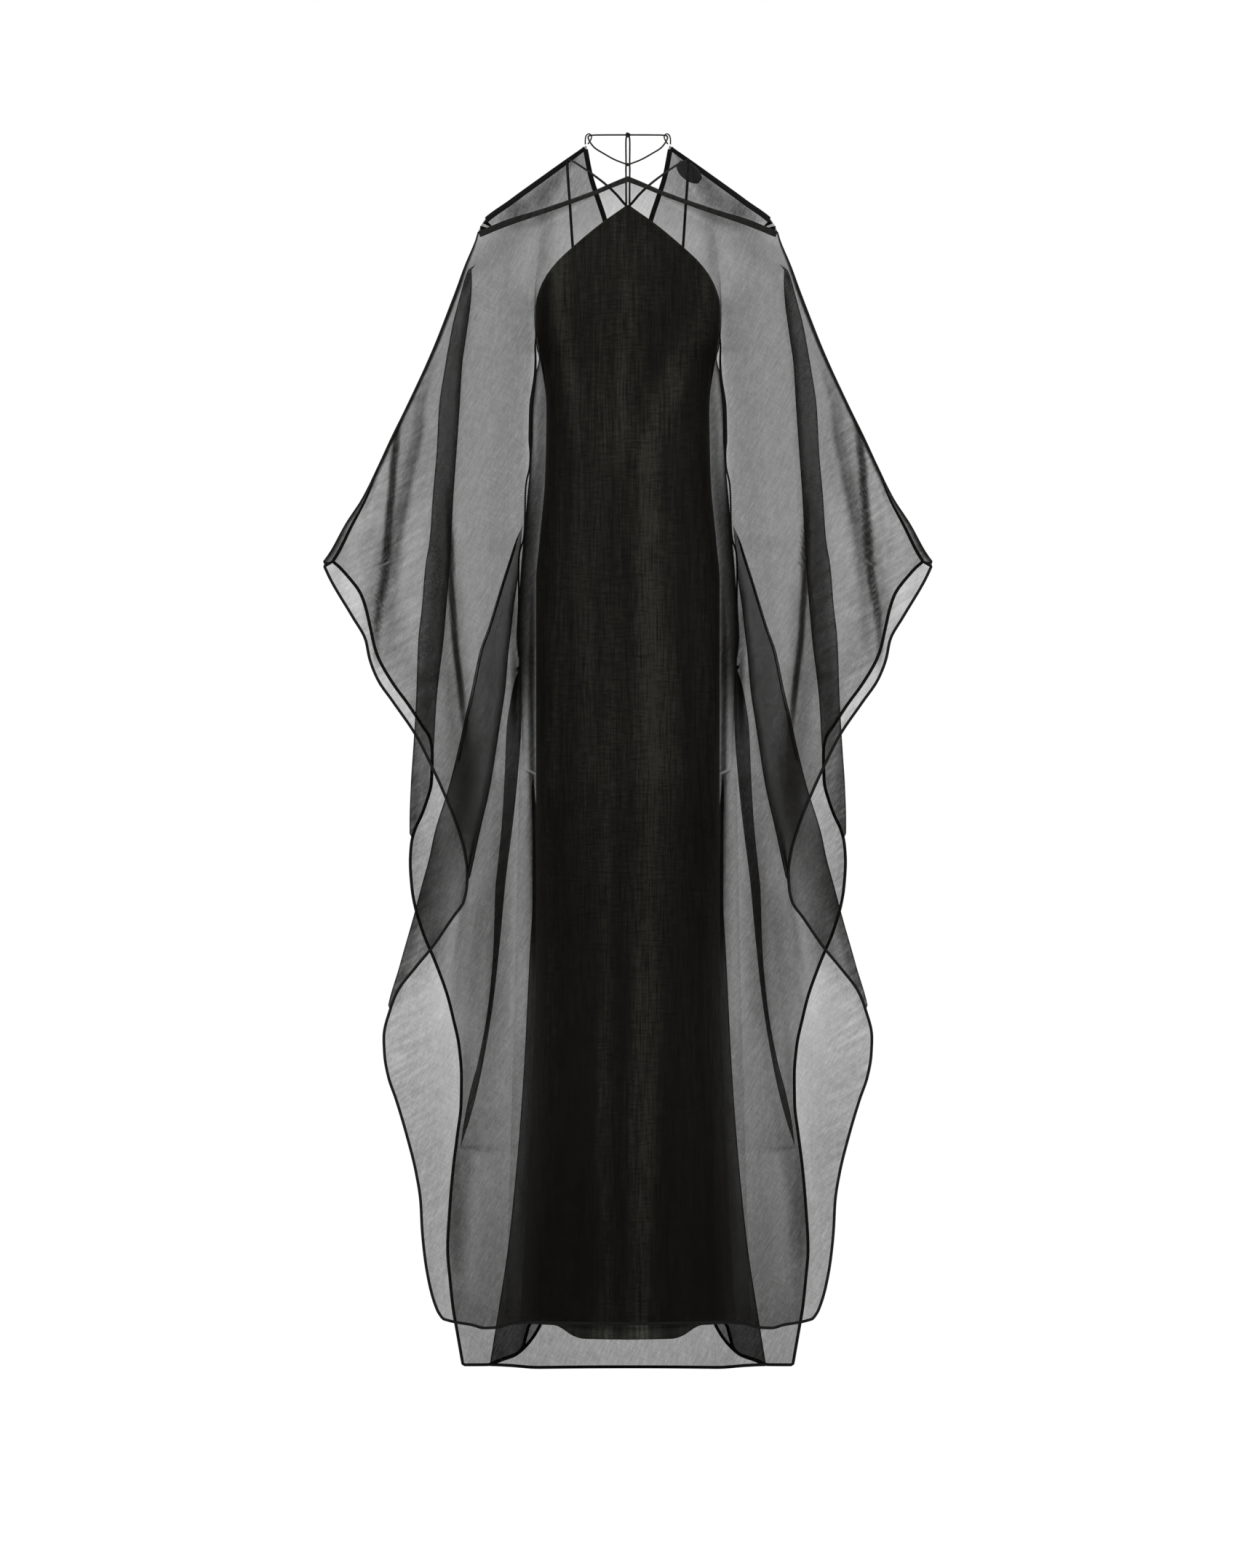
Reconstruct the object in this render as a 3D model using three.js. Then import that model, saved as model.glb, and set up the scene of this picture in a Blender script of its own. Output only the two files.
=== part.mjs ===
// A sheer kaftan that hangs from a neck cord over its own opaque halter slip, in the hollow form
// that it has when it is worn with the arms a little out from the sides.
// Millimetres. +Z is up and the front faces -Y. The origin is at the base of the neck.
// Heights are given as a drop below the origin, depths as a distance in front of or behind the
// plane through both shoulders, and the two sides are mirror images.
import * as THREE from "three";
import { mergeVertices } from "three/addons/utils/BufferGeometryUtils.js";

// ---------------------------------------------------------------- driving sizes
const SHEER_WALL = 1.2; // crinkled organza, built as thick as a rigid wall may be thin
const SLIP_WALL = 1.5;
const TAPE_WALL = 1.0; // bindings, straps and the label
const SEAM_GAP = 0.4; // between two pieces that are sewn to each other
const OVERARM_GAP = 0.9; // along the overarm seam, whose wall ends lean towards each other
const CORD_RADIUS = 1.1;
const KNOT_RADIUS = 3.4; // the nape knot
const THROAT_KNOT_RADIUS = 2.2;
const FOLD_GAP = 8; // depth from one layer of a large fold to the next
const PLEAT_GAP = 3;
const WELD = 0.001;

const SHOULDER_DROP = 112; // where the front neckline meets the back's top edge
const WRIST_DROP = 543; // lower end of the overarm seam
const HEM_START = 1520; // below this the rows run out to the hem lines
const FRONT_HEM_CORNER = 1531; // where the free side edges meet the hems
const BACK_HEM_CORNER = 1593;
const OPENING_END = 225; // foot of the V in the back
const SLIP_BACK_TOP = 228;

// ---------------------------------------------------------------- tables and smooth lines
const smooth = (t) => {
  const u = Math.min(1, Math.max(0, t));
  return u * u * (3 - 2 * u);
};
const mix = (a, b, t) => a + (b - a) * t;

// A line through (key, value) pairs that never swings past them.
function smoothLine(keys, values) {
  const last = keys.length - 1;
  const slope = keys.slice(1).map((key, i) => (values[i + 1] - values[i]) / (key - keys[i]));
  const tangent = keys.map((_, i) => {
    if (i === 0 || i === last) return slope[Math.min(i, last - 1)];
    if (slope[i - 1] * slope[i] <= 0) return 0;
    return (2 * slope[i - 1] * slope[i]) / (slope[i - 1] + slope[i]);
  });
  return (key) => {
    if (key <= keys[0]) return values[0];
    if (key >= keys[last]) return values[last];
    const i = keys.findIndex((k) => k > key) - 1;
    const width = keys[i + 1] - keys[i];
    const t = (key - keys[i]) / width;
    return (
      values[i] * (1 + 2 * t) * (1 - t) ** 2 +
      tangent[i] * width * t * (1 - t) ** 2 +
      values[i + 1] * t * t * (3 - 2 * t) +
      tangent[i + 1] * width * t * t * (t - 1)
    );
  };
}

// Named columns, each a smooth line over the first one.
function table(names, rows) {
  const keys = rows.map((row) => row[0]);
  const columns = names.split(" ").slice(1);
  return Object.fromEntries(
    columns.map((name, i) => [name, smoothLine(keys, rows.map((row) => row[i + 1]))]),
  );
}

// ---------------------------------------------------------------- outlines seen from the front
const neckline = table("drop reach", [
  [42, 0], [50, 20], [59, 41], [72, 75], [88, 117], [100, 155], [SHOULDER_DROP, 194],
]);
const backTop = table("drop reach", [[0, 55], [38, 103], [76, 151], [SHOULDER_DROP, 194]]);
const backOpening = table("drop reach", [
  [0, 54], [38, 46.5], [59, 40], [98, 27], [160, 12], [OPENING_END, 0],
]);

// The arm's outline and how far inside it the overarm seam shows.
const arm = table("drop reach inset round", [
  [112, 195, 0, 1], [124, 198, 0, 4], [157, 212, 1.5, 8], [188, 224, 3, 10], [266, 252, 2.5, 12],
  [342, 288, 4, 13], [380, 307, 5, 14], [461, 345, 9, 16], [532, 388, 13, 18], [543, 398, 14, 18],
]);

// The free side edges below the wrist.
const frontEdge = table("drop reach", [
  [543, 399], [567, 388], [616, 359], [646, 342], [670, 337], [698, 326], [727, 307], [770, 280],
  [808, 257], [852, 237], [893, 221], [926, 212], [950, 209], [969, 210], [988, 214], [1007, 226],
  [1045, 250], [1073, 274], [1104, 299], [1126, 309], [1164, 318], [1188, 317], [1216, 312],
  [1245, 302], [1292, 288], [1340, 276], [1378, 271], [1415, 269], [1454, 264], [1492, 257],
  [HEM_START, 248], [FRONT_HEM_CORNER, 241],
]);
const backEdge = table("drop reach", [
  [543, 384], [565, 364], [584, 350], [603, 343], [629, 337], [656, 331], [670, 326], [703, 307],
  [729, 288], [758, 269], [774, 259], [793, 256], [831, 257], [855, 261], [879, 269], [891, 275],
  [912, 281], [936, 283], [969, 281], [993, 278], [1031, 264], [1064, 250], [1112, 234],
  [1140, 229], [1178, 221], [1216, 218], [1254, 218.5], [1292, 223], [1340, 229], [1387, 233],
  [1444, 236], [1482, 233], [HEM_START, 229], [1549, 224], [BACK_HEM_CORNER, 216],
]);
const frontHem = table("reach drop", [
  [0, 1546], [173, 1545], [188, 1544], [202, 1539], [226, 1535], [241, FRONT_HEM_CORNER],
]);
const backHem = table("reach drop", [
  [0, 1597], [117, 1597], [155, 1594], [181, BACK_HEM_CORNER], [216, BACK_HEM_CORNER],
]);
// The back hem is drawn up where the leg fold turns in towards the slip.
const foldedHem = table("reach drop", [
  [112, 1536], [117, 1548], [131, 1568], [147, 1582], [165, 1588], [181, BACK_HEM_CORNER],
]);

// ---------------------------------------------------------------- folds, as lines from the front
// out is the fold line away from the middle, back the one nearer to it.
const frontFold = table("drop out back", [
  [480, 132, 136], [500, 139, 138], [515, 146, 139], [542, 155, 141.5], [570, 164, 144],
  [603, 174, 149], [632, 183, 152], [660, 193, 155.5], [712, 204, 160], [746, 212, 165],
  [779, 219, 170], [836, 233, 179], [898, 252, 193], [931, 259, 200], [964, 268, 207],
  [1009, 280, 214], [1069, 297, 220], [1135, 314, 226], [1546, 330, 240],
]);
const armFold = table("drop out back", [
  [160, 200, 208], [175, 211, 208.5], [190, 216, 209], [228, 226, 212], [285, 238, 216.5],
  [342, 247, 220], [399, 250, 224], [456, 255, 228], [513, 259, 231], [551, 265, 233],
  [599, 269, 237], [646, 274, 241], [722, 277, 250], [788, 280, 254], [941, 283, 262],
]);
const hipPleat = table("drop out back", [
  [700, 143, 144], [735, 151, 143], [760, 155, 141], [855, 158, 144], [931, 164, 150],
  [969, 173, 159], [1045, 175, 167], [1121, 180, 174], [1197, 193, 187], [1235, 202, 195],
  [1273, 212, 206], [1301, 218, 216], [1320, 220, 222],
]);
const legFold = table("drop out back", [
  [800, 122, 126], [845, 126, 122], [900, 125, 117], [988, 125, 113], [1045, 128, 112],
  [1235, 138, 112], [1425, 155, 112], [1545, 173, 112], [BACK_HEM_CORNER, 181, 112],
]);

// ---------------------------------------------------------------- depths of the sheer panels
// middle and flank are depths on the centre line and at the flank's reach, swell is how far the
// cloth stands off past the flank, rim is the depth where the arm's curve or the free edge comes.
// wrap is 0 where the panel follows the body to the side seam and 1 where it hangs free.
const frontDepth = table("drop middle flankReach flank swell rim wrap", [
  [42, 62, 0, 62, 0, 62, 1], [50, 66, 12, 65, 0, 61, 1], [59, 70, 24, 67, 0, 60, 1],
  [72, 75, 45, 69, 2, 54, 1], [88, 82, 70, 69, 3, 40, 1], [100, 87, 92, 67, 4, 22, 1],
  [112, 92, 112, 65, 4, 4, 1], [157, 101, 118, 68, 4, 20, 1], [190, 106, 121, 62, 4, 28, 0.8],
  [228, 108, 122, 36, 6, 30, 0.4], [266, 107, 119, 8, 12, 30, 0], [276, 106, 116, 0.8, 14, 30, 0],
  [304, 105, 121.6, 0.8, 15, 30, 0], [361, 104, 126.4, 0.8, 16, 30, 0],
  [418, 104, 128, 0.8, 17, 29, 0], [466, 104, 132, 0.8, 18, 28, 0], [513, 105, 136, 0.8, 18, 26, 0],
  [546, 106, 139, 0.8, 20, 24, 0], [560, 106, 140, 0.8, 20, 20, 0], [599, 107, 142.5, 0.8, 20, 22, 0],
  [646, 107, 144.4, 0.8, 20, 28, 0], [665, 107, 142.5, 2, 20, 31, 0.1], [720, 108, 142, 12, 19, 38, 0.5],
  [800, 110, 142, 24, 16, 50, 1], [940, 113, 144, 34, 14, 65, 1], [1200, 121, 150, 44, 8, 60, 1],
  [1546, 136, 160, 58, 4, 60, 1],
]);
const backDepth = table("drop middle flankReach flank swell rim wrap", [
  [0, 14, 54.5, 13.8, 0, 13.5, 1], [19, 32, 62, 23, 0, 12, 1], [38, 46, 72, 31, 0, 10, 1],
  [59, 59, 84, 40, 0, 8, 1], [98, 80, 104, 55, -4, 5, 1], [112, 85, 112, 58, -8, 4, 1],
  [157, 94, 118, 62, -22, 26, 1], [190, 96, 121, 58, -22, 44, 0.8], [228, 96, 122, 36, -6, 46, 0.4],
  [266, 96, 119, 8, 18, 46, 0], [276, 96, 116, 0.8, 24, 45, 0], [304, 96, 121.6, 0.8, 24, 44, 0],
  [361, 97, 126.4, 0.8, 24, 44, 0], [418, 98, 128, 0.8, 24, 42, 0], [466, 100, 132, 0.8, 24, 40, 0],
  [513, 103, 136, 0.8, 24, 38, 0], [546, 105, 139, 0.8, 24, 36, 0], [599, 107, 142.5, 0.8, 24, 38, 0],
  [646, 107, 144.4, 0.8, 22, 42, 0], [665, 107, 142.5, 2, 20, 44, 0.1], [720, 106, 140, 20, 8, 50, 0.5],
  [774, 105, 138, 40, 0, 60, 0.8], [845, 105, 136, 60, -14, 66, 1], [931, 105, 140, 70, -22, 70, 1],
  [1597, 112, 145, 76, -22, 76, 1],
]);

// ---------------------------------------------------------------- the slip's sections
const slipFrontSize = table("drop reach middle rim", [
  [81, 1.5, 72, 72], [90, 14, 75, 71.5], [100, 28.5, 78, 71], [116, 49, 81, 69], [133, 69, 83, 65],
  [152, 90, 85, 54], [171, 105.5, 87, 40], [190, 115, 89, 22], [209, 119.6, 90, 8], [228, 119.6, 90, 1],
  [266, 115.5, 86, 1], [285, 109, 83, 1], [342, 105.5, 79, 1], [380, 105.5, 78, 1], [428, 107, 80, 1],
  [475, 110, 83, 1], [522, 115, 86, 1], [570, 119, 88, 1], [760, 119, 88, 1], [1045, 119, 92, 1],
  [1235, 125, 96, 1], [1425, 134, 100, 1], [1537, 140, 104, 1],
]);
const slipBackSize = table("drop reach middle rim", [
  [228, 119.6, 78, 1], [266, 115.5, 74, 1], [342, 105.5, 70, 1], [428, 107, 78, 1], [522, 115, 90, 1],
  [570, 119, 93, 1], [700, 119, 90, 1], [1045, 119, 86, 1], [1235, 125, 86, 1], [1425, 134, 86, 1],
  [1537, 140, 86, 1],
]);
const SLIP_HEM_START = 1500;
const SLIP_HEM_DROP = 1537; // at the sides and all along the back
// The front of the slip's hem hangs lower and stands forward in the middle.
const slipHem = table("reach drop forward", [
  [0, 1556, 14], [58, 1555, 13], [72, 1551, 9], [84, 1543, 4], [95, 1538, 1], [140, SLIP_HEM_DROP, 0],
]);

// ---------------------------------------------------------------- closed walls from grids of points
// Joins the rows of a grid with triangles whose front is on the side of (across x down).
function skinOf(rows) {
  const positions = [];
  for (let i = 0; i + 1 < rows.length; i++)
    for (let j = 0; j + 1 < rows[i].length; j++) {
      const [a, b, c, d] = [rows[i][j], rows[i][j + 1], rows[i + 1][j + 1], rows[i + 1][j]];
      // The shorter diagonal keeps tight folds round.
      const firstIsShorter = a.distanceToSquared(c) < b.distanceToSquared(d);
      const split = firstIsShorter ? [a, b, c, a, c, d] : [a, b, d, b, c, d];
      for (const p of split) positions.push(p.x, p.y, p.z);
    }
  return positions;
}

// Gives a skin a wall: welds it, drops what has no area, moves copies of it to both sides
// and joins them along every free edge.
function wallOf(positions, thickness) {
  const loose = new THREE.BufferGeometry();
  loose.setAttribute("position", new THREE.Float32BufferAttribute(positions, 3));
  const skin = mergeVertices(loose, WELD);
  const triangles = [];
  for (let i = 0; i < skin.index.count; i += 3) {
    const [a, b, c] = [0, 1, 2].map((k) => skin.index.getX(i + k));
    if (a !== b && b !== c && c !== a) triangles.push([a, b, c]);
  }
  skin.setIndex(triangles.flat());
  skin.computeVertexNormals();
  const count = skin.attributes.position.count;
  const point = new THREE.Vector3();
  const normal = new THREE.Vector3();
  const out = [];
  for (const side of [0.5, -0.5])
    for (let i = 0; i < count; i++) {
      point.fromBufferAttribute(skin.attributes.position, i);
      normal.fromBufferAttribute(skin.attributes.normal, i);
      point.addScaledVector(normal, side * thickness);
      out.push(point.x, point.y, point.z);
    }
  const faces = [];
  const edges = new Map();
  for (const [a, b, c] of triangles) {
    faces.push(a, b, c, a + count, c + count, b + count);
    for (const [from, to] of [[a, b], [b, c], [c, a]]) edges.set(from + "_" + to, [from, to]);
  }
  for (const [from, to] of edges.values())
    if (!edges.has(to + "_" + from))
      faces.push(from, from + count, to + count, from, to + count, to);
  const wall = new THREE.BufferGeometry();
  wall.setAttribute("position", new THREE.Float32BufferAttribute(out, 3));
  wall.setIndex(faces);
  return wall;
}

const mirrored = (rows) => rows.map((row) => row.map((p) => new THREE.Vector3(-p.x, p.y, p.z)).reverse());

// ---------------------------------------------------------------- the sheer panels
const BODY_ROUNDNESS = 2.5; // 2 is an ellipse, more is squarer
// Depth of the part that goes round the body, from the middle to the flank.
function bodyDepth(size, drop, reach) {
  const flankReach = size.flankReach(drop);
  const share = flankReach > 0 ? Math.min(1, reach / flankReach) : 1;
  const worn = (1 - share ** BODY_ROUNDNESS) ** (1 / BODY_ROUNDNESS);
  const free = 0.5 * Math.sqrt(1 - share * share) + 0.5 * (1 - smooth(share));
  return mix(size.flank(drop), size.middle(drop), mix(worn, free, size.wrap(drop)));
}

const SWELL_REACH = 60;
// Depth of the innermost layer past the flank.
const layerDepth = (size, drop, reach) =>
  size.flank(drop) + size.swell(drop) * smooth((reach - size.flankReach(drop)) / SWELL_REACH);

const FOLD_COLUMNS = 6;
// The six columns of a Z-fold: out, round the outer line, back, round the inner line, and on.
// cut gives the free edge where it lies inside the fold, as {layer, reach}.
function foldColumns(fold, drop, gap, lift, size, cut) {
  const [out, back] = [fold.out(drop), fold.back(drop)];
  const at = (reach, layers) => [reach, layerDepth(size, drop, reach) + lift + layers * gap];
  if (out <= back) return { points: Array(FOLD_COLUMNS).fill(at(mix(out, back, 0.5), 0)), lift };
  const turn = Math.min(gap / 2, (out - back) / 3);
  const points = [
    at(out - turn, 0), at(out, 0.5), at(out - turn, 1),
    at(back + turn, 1), at(back, 1.5), at(back + turn, 2),
  ];
  if (cut && cut.layer === 1) points.fill(at(cut.reach, 0));
  if (cut && cut.layer === 2) points.fill(at(cut.reach, 1), 3);
  return { points, lift: lift + 2 * gap };
}

// Columns from one point to the rim, whose depth is given, standing off a little on the way.
function outerColumns(from, rim, rimDepth, swell, count) {
  return Array.from({ length: count }, (_, i) => {
    const t = (i + 1) / count;
    return [mix(from[0], rim, t), mix(from[1], rimDepth, smooth(t)) + swell * 4 * t * (1 - t) * 0.5];
  });
}

const ARC_COLUMNS = 3;
// How the columns share out the reach of the body and of the stretch past the flank.
const FRONT_BODY_SHARES = [0, 0.35, 0.65, 0.87, 0.96, 1];
const FRONT_SIDE_SHARES = [0.35, 0.7];
const BACK_BODY_SHARES = [0, 0.4, 0.72, 0.92];
const OUTER_COLUMNS = 4;

// The turn of the arm's outline at which the overarm seam lies: a right angle is the outline.
const seamTurn = (drop) => Math.PI - Math.asin(1 - arm.inset(drop) / arm.round(drop));
// A point of the arm's curve; a turn of 0 faces the front and half a turn the back.
function armPoint(drop, turn) {
  const depth = (turn < Math.PI / 2 ? frontDepth : backDepth).rim(drop);
  const reach = arm.reach(drop) - arm.round(drop) * (1 - Math.sin(turn));
  return new THREE.Vector3(reach, -depth * Math.cos(turn), -drop);
}
const SMALL_TURN = 0.01;
// How far the curve turns for one millimetre along it.
const turnPerMillimetre = (drop, turn) =>
  SMALL_TURN / armPoint(drop, turn).distanceTo(armPoint(drop, turn + SMALL_TURN));
const isOnArm = (drop) => drop >= SHOULDER_DROP && drop <= WRIST_DROP;

const frontLevels = [
  42, 50, 59, 72, 88, 100, 112, 124, 157, 190, 228, 266, 310, 361, 418, 466, 500, 520, 543, 556, 580, 616,
  646, 690, 735, 790, 850, 900, 940, 975, 1007, 1055, 1104, 1150, 1190, 1245, 1340, 1440, HEM_START,
];
const FRONT_LAYER_2 = 955; // the free edge turns into the fold's second layer here
const FRONT_LAYER_1 = 1125;

// Where a panel's outermost straight column lies: on its neck edge, at the arm or on its free edge.
function rimReach(drop, neckEdge, edge) {
  if (drop < SHOULDER_DROP) return neckEdge.reach(drop);
  return isOnArm(drop) ? arm.reach(drop) - arm.round(drop) : edge.reach(drop);
}

// The last columns of a row: round the arm from one turn to the seam, or nothing past a free edge.
function addArmColumns(points, drop, startTurn, gapSide) {
  for (let i = 1; i <= ARC_COLUMNS; i++) {
    if (!isOnArm(drop)) {
      points.push(points.at(-1).clone());
      continue;
    }
    const seam = seamTurn(drop);
    const end = seam + gapSide * (OVERARM_GAP / 2) * turnPerMillimetre(drop, seam);
    points.push(armPoint(drop, mix(startTurn, end, i / ARC_COLUMNS)));
  }
  return points;
}

function frontRow(drop) {
  const size = frontDepth;
  const flankReach = size.flankReach(drop);
  const row = FRONT_BODY_SHARES.map((share) => share * flankReach).map((reach) => [
    reach,
    bodyDepth(size, drop, reach),
  ]);
  const edgeReach = frontEdge.reach(drop);
  const layer = drop < FRONT_LAYER_2 ? 3 : drop < FRONT_LAYER_1 ? 2 : 1;
  const started = frontFold.out(drop) > frontFold.back(drop);
  const inner = started ? Math.min(frontFold.out(drop), layer === 1 ? edgeReach : Infinity) : flankReach;
  for (const t of FRONT_SIDE_SHARES) {
    const reach = mix(flankReach, inner, t);
    row.push([reach, layerDepth(size, drop, reach)]);
  }
  const cut = { layer, reach: edgeReach };
  if (started) row.push(...foldColumns(frontFold, drop, FOLD_GAP, 0, size, cut).points);
  else row.push(...Array(FOLD_COLUMNS).fill(row.at(-1)));
  const rim = rimReach(drop, neckline, frontEdge);
  if (layer === 3)
    row.push(...outerColumns(row.at(-1), rim, size.rim(drop), size.swell(drop), OUTER_COLUMNS));
  else row.push(...Array(OUTER_COLUMNS).fill(row.at(-1)));
  const points = row.map(([reach, depth]) => new THREE.Vector3(reach, -depth, -drop));
  return addArmColumns(points, drop, 0, -1);
}

const backLevels = [
  0, 10, 24, 38, 59, 80, 98, 112, 124, 157, 190, 228, 266, 310, 361, 418, 466, 513, 543, 560, 590, 629,
  670, 703, 735, 774, 815, 855, 891, 925, 969, 1010, 1064, 1130, 1197, 1250, 1292, 1320, 1425, HEM_START,
];
const BACK_LAYER_2 = 793;
const BACK_LAYER_1 = 905;

const LEG_FOLD_STEEPNESS = 1.2; // the fold opens to its full gap over this share of its width
// The columns of the back panel from the middle to the flank, with the leg fold once it has begun.
function backBodyColumns(size, drop) {
  const flankReach = size.flankReach(drop);
  const [out, back] = [legFold.out(drop), legFold.back(drop)];
  if (out <= back) {
    const start = drop < OPENING_END ? backOpening.reach(drop) : 0;
    const reaches = BACK_BODY_SHARES.map((share) => mix(start, flankReach, share));
    const points = reaches.map((reach) => [reach, bodyDepth(size, drop, reach)]);
    return { points: [...points, ...Array(FOLD_COLUMNS).fill(points.at(-1))], lift: 0 };
  }
  const gap = Math.min(FOLD_GAP, (out - back) * LEG_FOLD_STEEPNESS);
  const turn = Math.min(gap / 2, (out - back) / 3);
  const on = (reach, layers) => [reach, bodyDepth(size, drop, reach) + layers * gap];
  const points = [
    ...BACK_BODY_SHARES.map((share) => on(share * (out - turn), 0)),
    on(out - turn, 0), on(out, 0.5), on(out - turn, 1),
    on(back + turn, 1), on(back, 1.5), on(back + turn, 2),
  ];
  return { points, lift: 2 * gap };
}

function backRow(drop) {
  const size = backDepth;
  const edgeReach = backEdge.reach(drop);
  const layer = drop < BACK_LAYER_2 ? 3 : drop < BACK_LAYER_1 ? 2 : 1;
  const body = backBodyColumns(size, drop);
  let lift = body.lift;
  const row = [...body.points, [size.flankReach(drop), size.flank(drop) + lift]];
  if (hipPleat.out(drop) > hipPleat.back(drop)) {
    const pleat = foldColumns(hipPleat, drop, PLEAT_GAP, lift, size);
    row.push(...pleat.points);
    lift = pleat.lift;
  } else row.push(...Array(FOLD_COLUMNS).fill(row.at(-1)));
  const [reached] = row.at(-1);
  const folded = armFold.out(drop) > armFold.back(drop) && layer > 1;
  const inner = folded ? armFold.out(drop) : layer === 1 ? edgeReach : reached;
  const before = mix(reached, inner, 0.5);
  row.push([before, layerDepth(size, drop, before) + (inner > reached ? lift : 0)]);
  const cut = { layer, reach: edgeReach };
  if (folded) row.push(...foldColumns(armFold, drop, FOLD_GAP, lift, size, cut).points);
  else if (layer === 1)
    row.push(...Array(FOLD_COLUMNS).fill([edgeReach, layerDepth(size, drop, edgeReach) + lift]));
  else row.push(...Array(FOLD_COLUMNS).fill(row.at(-1)));
  const rim = rimReach(drop, backTop, backEdge);
  if (layer === 3) row.push(...outerColumns(row.at(-1), rim, size.rim(drop), 0, OUTER_COLUMNS - 1));
  else row.push(...Array(OUTER_COLUMNS - 1).fill(row.at(-1)));
  const points = row.map(([reach, depth]) => new THREE.Vector3(reach, depth, -drop));
  return addArmColumns(points, drop, Math.PI, 1);
}

// Rows below the last level one share out what is left down to the hem.
function rowsToHem(rowAt, corner, hemDrop, shares) {
  return shares.map((share) => {
    const row = rowAt(mix(HEM_START, corner, share));
    return row.map((p, column) => new THREE.Vector3(p.x, p.y, -mix(HEM_START, hemDrop(p.x, column), share)));
  });
}

function kaftanFront() {
  const rows = frontLevels.map(frontRow);
  rows.push(...rowsToHem(frontRow, FRONT_HEM_CORNER, (reach) => frontHem.drop(reach), [1]));
  return wallOf([...skinOf(mirrored(rows)), ...skinOf(rows)], SHEER_WALL);
}

const LEG_FOLD_TURN = 5; // column at which the leg fold's outer line is rounded
function kaftanBack() {
  const foldEnd = legFold.out(BACK_HEM_CORNER);
  const hemDrop = (reach, column) =>
    column > LEG_FOLD_TURN && reach < foldEnd ? foldedHem.drop(reach) : backHem.drop(reach);
  const rows = backLevels.map(backRow);
  rows.push(...rowsToHem(backRow, BACK_HEM_CORNER, hemDrop, [0.5, 1]));
  const turned = rows.map((row) => [...row].reverse());
  return wallOf([...skinOf(turned), ...skinOf(mirrored(turned))], SHEER_WALL);
}

// ---------------------------------------------------------------- the slip
const slipBackLevels = [
  SLIP_BACK_TOP, 266, 304, 361, 428, 500, 570, 760, 1000, 1235, 1425, SLIP_HEM_START,
];
const slipFrontLevels = [81, 90, 100, 116, 133, 152, 171, 190, 209, ...slipBackLevels];
const SLIP_COLUMNS = 7;
const SLIP_ROUNDNESS = 0.8; // 1 is an ellipse, less is squarer

function slipRow(size, drop) {
  return Array.from({ length: SLIP_COLUMNS + 1 }, (_, i) => {
    const turn = (i / SLIP_COLUMNS) * (Math.PI / 2);
    const reach = size.reach(drop) * Math.sin(turn) ** SLIP_ROUNDNESS;
    const depth = mix(size.rim(drop), size.middle(drop), Math.cos(turn) ** SLIP_ROUNDNESS);
    return new THREE.Vector3(reach, depth, -drop);
  });
}

function slipHalf(size, levels, forward) {
  const rows = levels.map((drop) => slipRow(size, drop));
  const hem = slipRow(size, SLIP_HEM_DROP);
  for (const p of hem.filter(() => forward)) p.set(p.x, p.y + slipHem.forward(p.x), -slipHem.drop(p.x));
  rows.push(hem);
  const placed = rows.map((row) => row.map((p) => new THREE.Vector3(p.x, forward ? -p.y : p.y, p.z)));
  const half = forward ? placed : placed.map((row) => [...row].reverse());
  return wallOf([...skinOf(mirrored(half)), ...skinOf(half)], SLIP_WALL);
}

// ---------------------------------------------------------------- tapes that lie on the panels
const ON_PANEL = SHEER_WALL / 2 + SEAM_GAP + TAPE_WALL / 2;
const NECK_BINDING_WIDTH = 8;
const TOP_BINDING_WIDTH = 6;
const OPENING_BINDING_WIDTH = 5;
const SEAM_TAPE_WIDTH = 4;
const BINDING_EASE = 0.6; // a straight tape clears the corners of the wall under it
const STEEP_EASE = 2.2; // the same where the wall leans away steeply

// The depth of a panel's skin where a line along Y meets it, read from the triangle that holds
// the point or, just past an edge, from the nearest one.
function depthOn(skin) {
  const [p, q, r, w] = Array.from({ length: 4 }, () => new THREE.Vector3());
  return (x, z) => {
    const target = new THREE.Vector3(x, 0, z);
    let [best, depth] = [-Infinity, 0];
    for (let i = 0; i < skin.length; i += 9) {
      [p, q, r].forEach((corner, k) => corner.set(skin[i + 3 * k], 0, skin[i + 3 * k + 2]));
      if (!THREE.Triangle.getBarycoord(target, p, q, r, w)) continue;
      const inside = Math.min(w.x, w.y, w.z);
      if (inside <= best) continue;
      best = inside;
      depth = w.x * skin[i + 1] + w.y * skin[i + 4] + w.z * skin[i + 7];
    }
    return depth;
  };
}
const BINDING_REGION = 260; // drop down to which the panels have a single layer under the tapes
const frontDepthAt = depthOn(skinOf(frontLevels.filter((drop) => drop < BINDING_REGION).map(frontRow)));
const backDepthAt = depthOn(skinOf(backLevels.filter((drop) => drop < BINDING_REGION).map(backRow)));

const HALVINGS = 40;
// The key at which a line that only rises or only falls has a value.
const inverse = (line, low, high) => (value) => {
  let [a, b] = [low, high];
  for (let i = 0; i < HALVINGS; i++) {
    const m = (a + b) / 2;
    if (line(m) < value === line(low) < line(high)) a = m;
    else b = m;
  }
  return (a + b) / 2;
};
const necklineDrop = inverse(neckline.reach, 42, SHOULDER_DROP);
const backTopDrop = inverse(backTop.reach, 0, SHOULDER_DROP);

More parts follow.
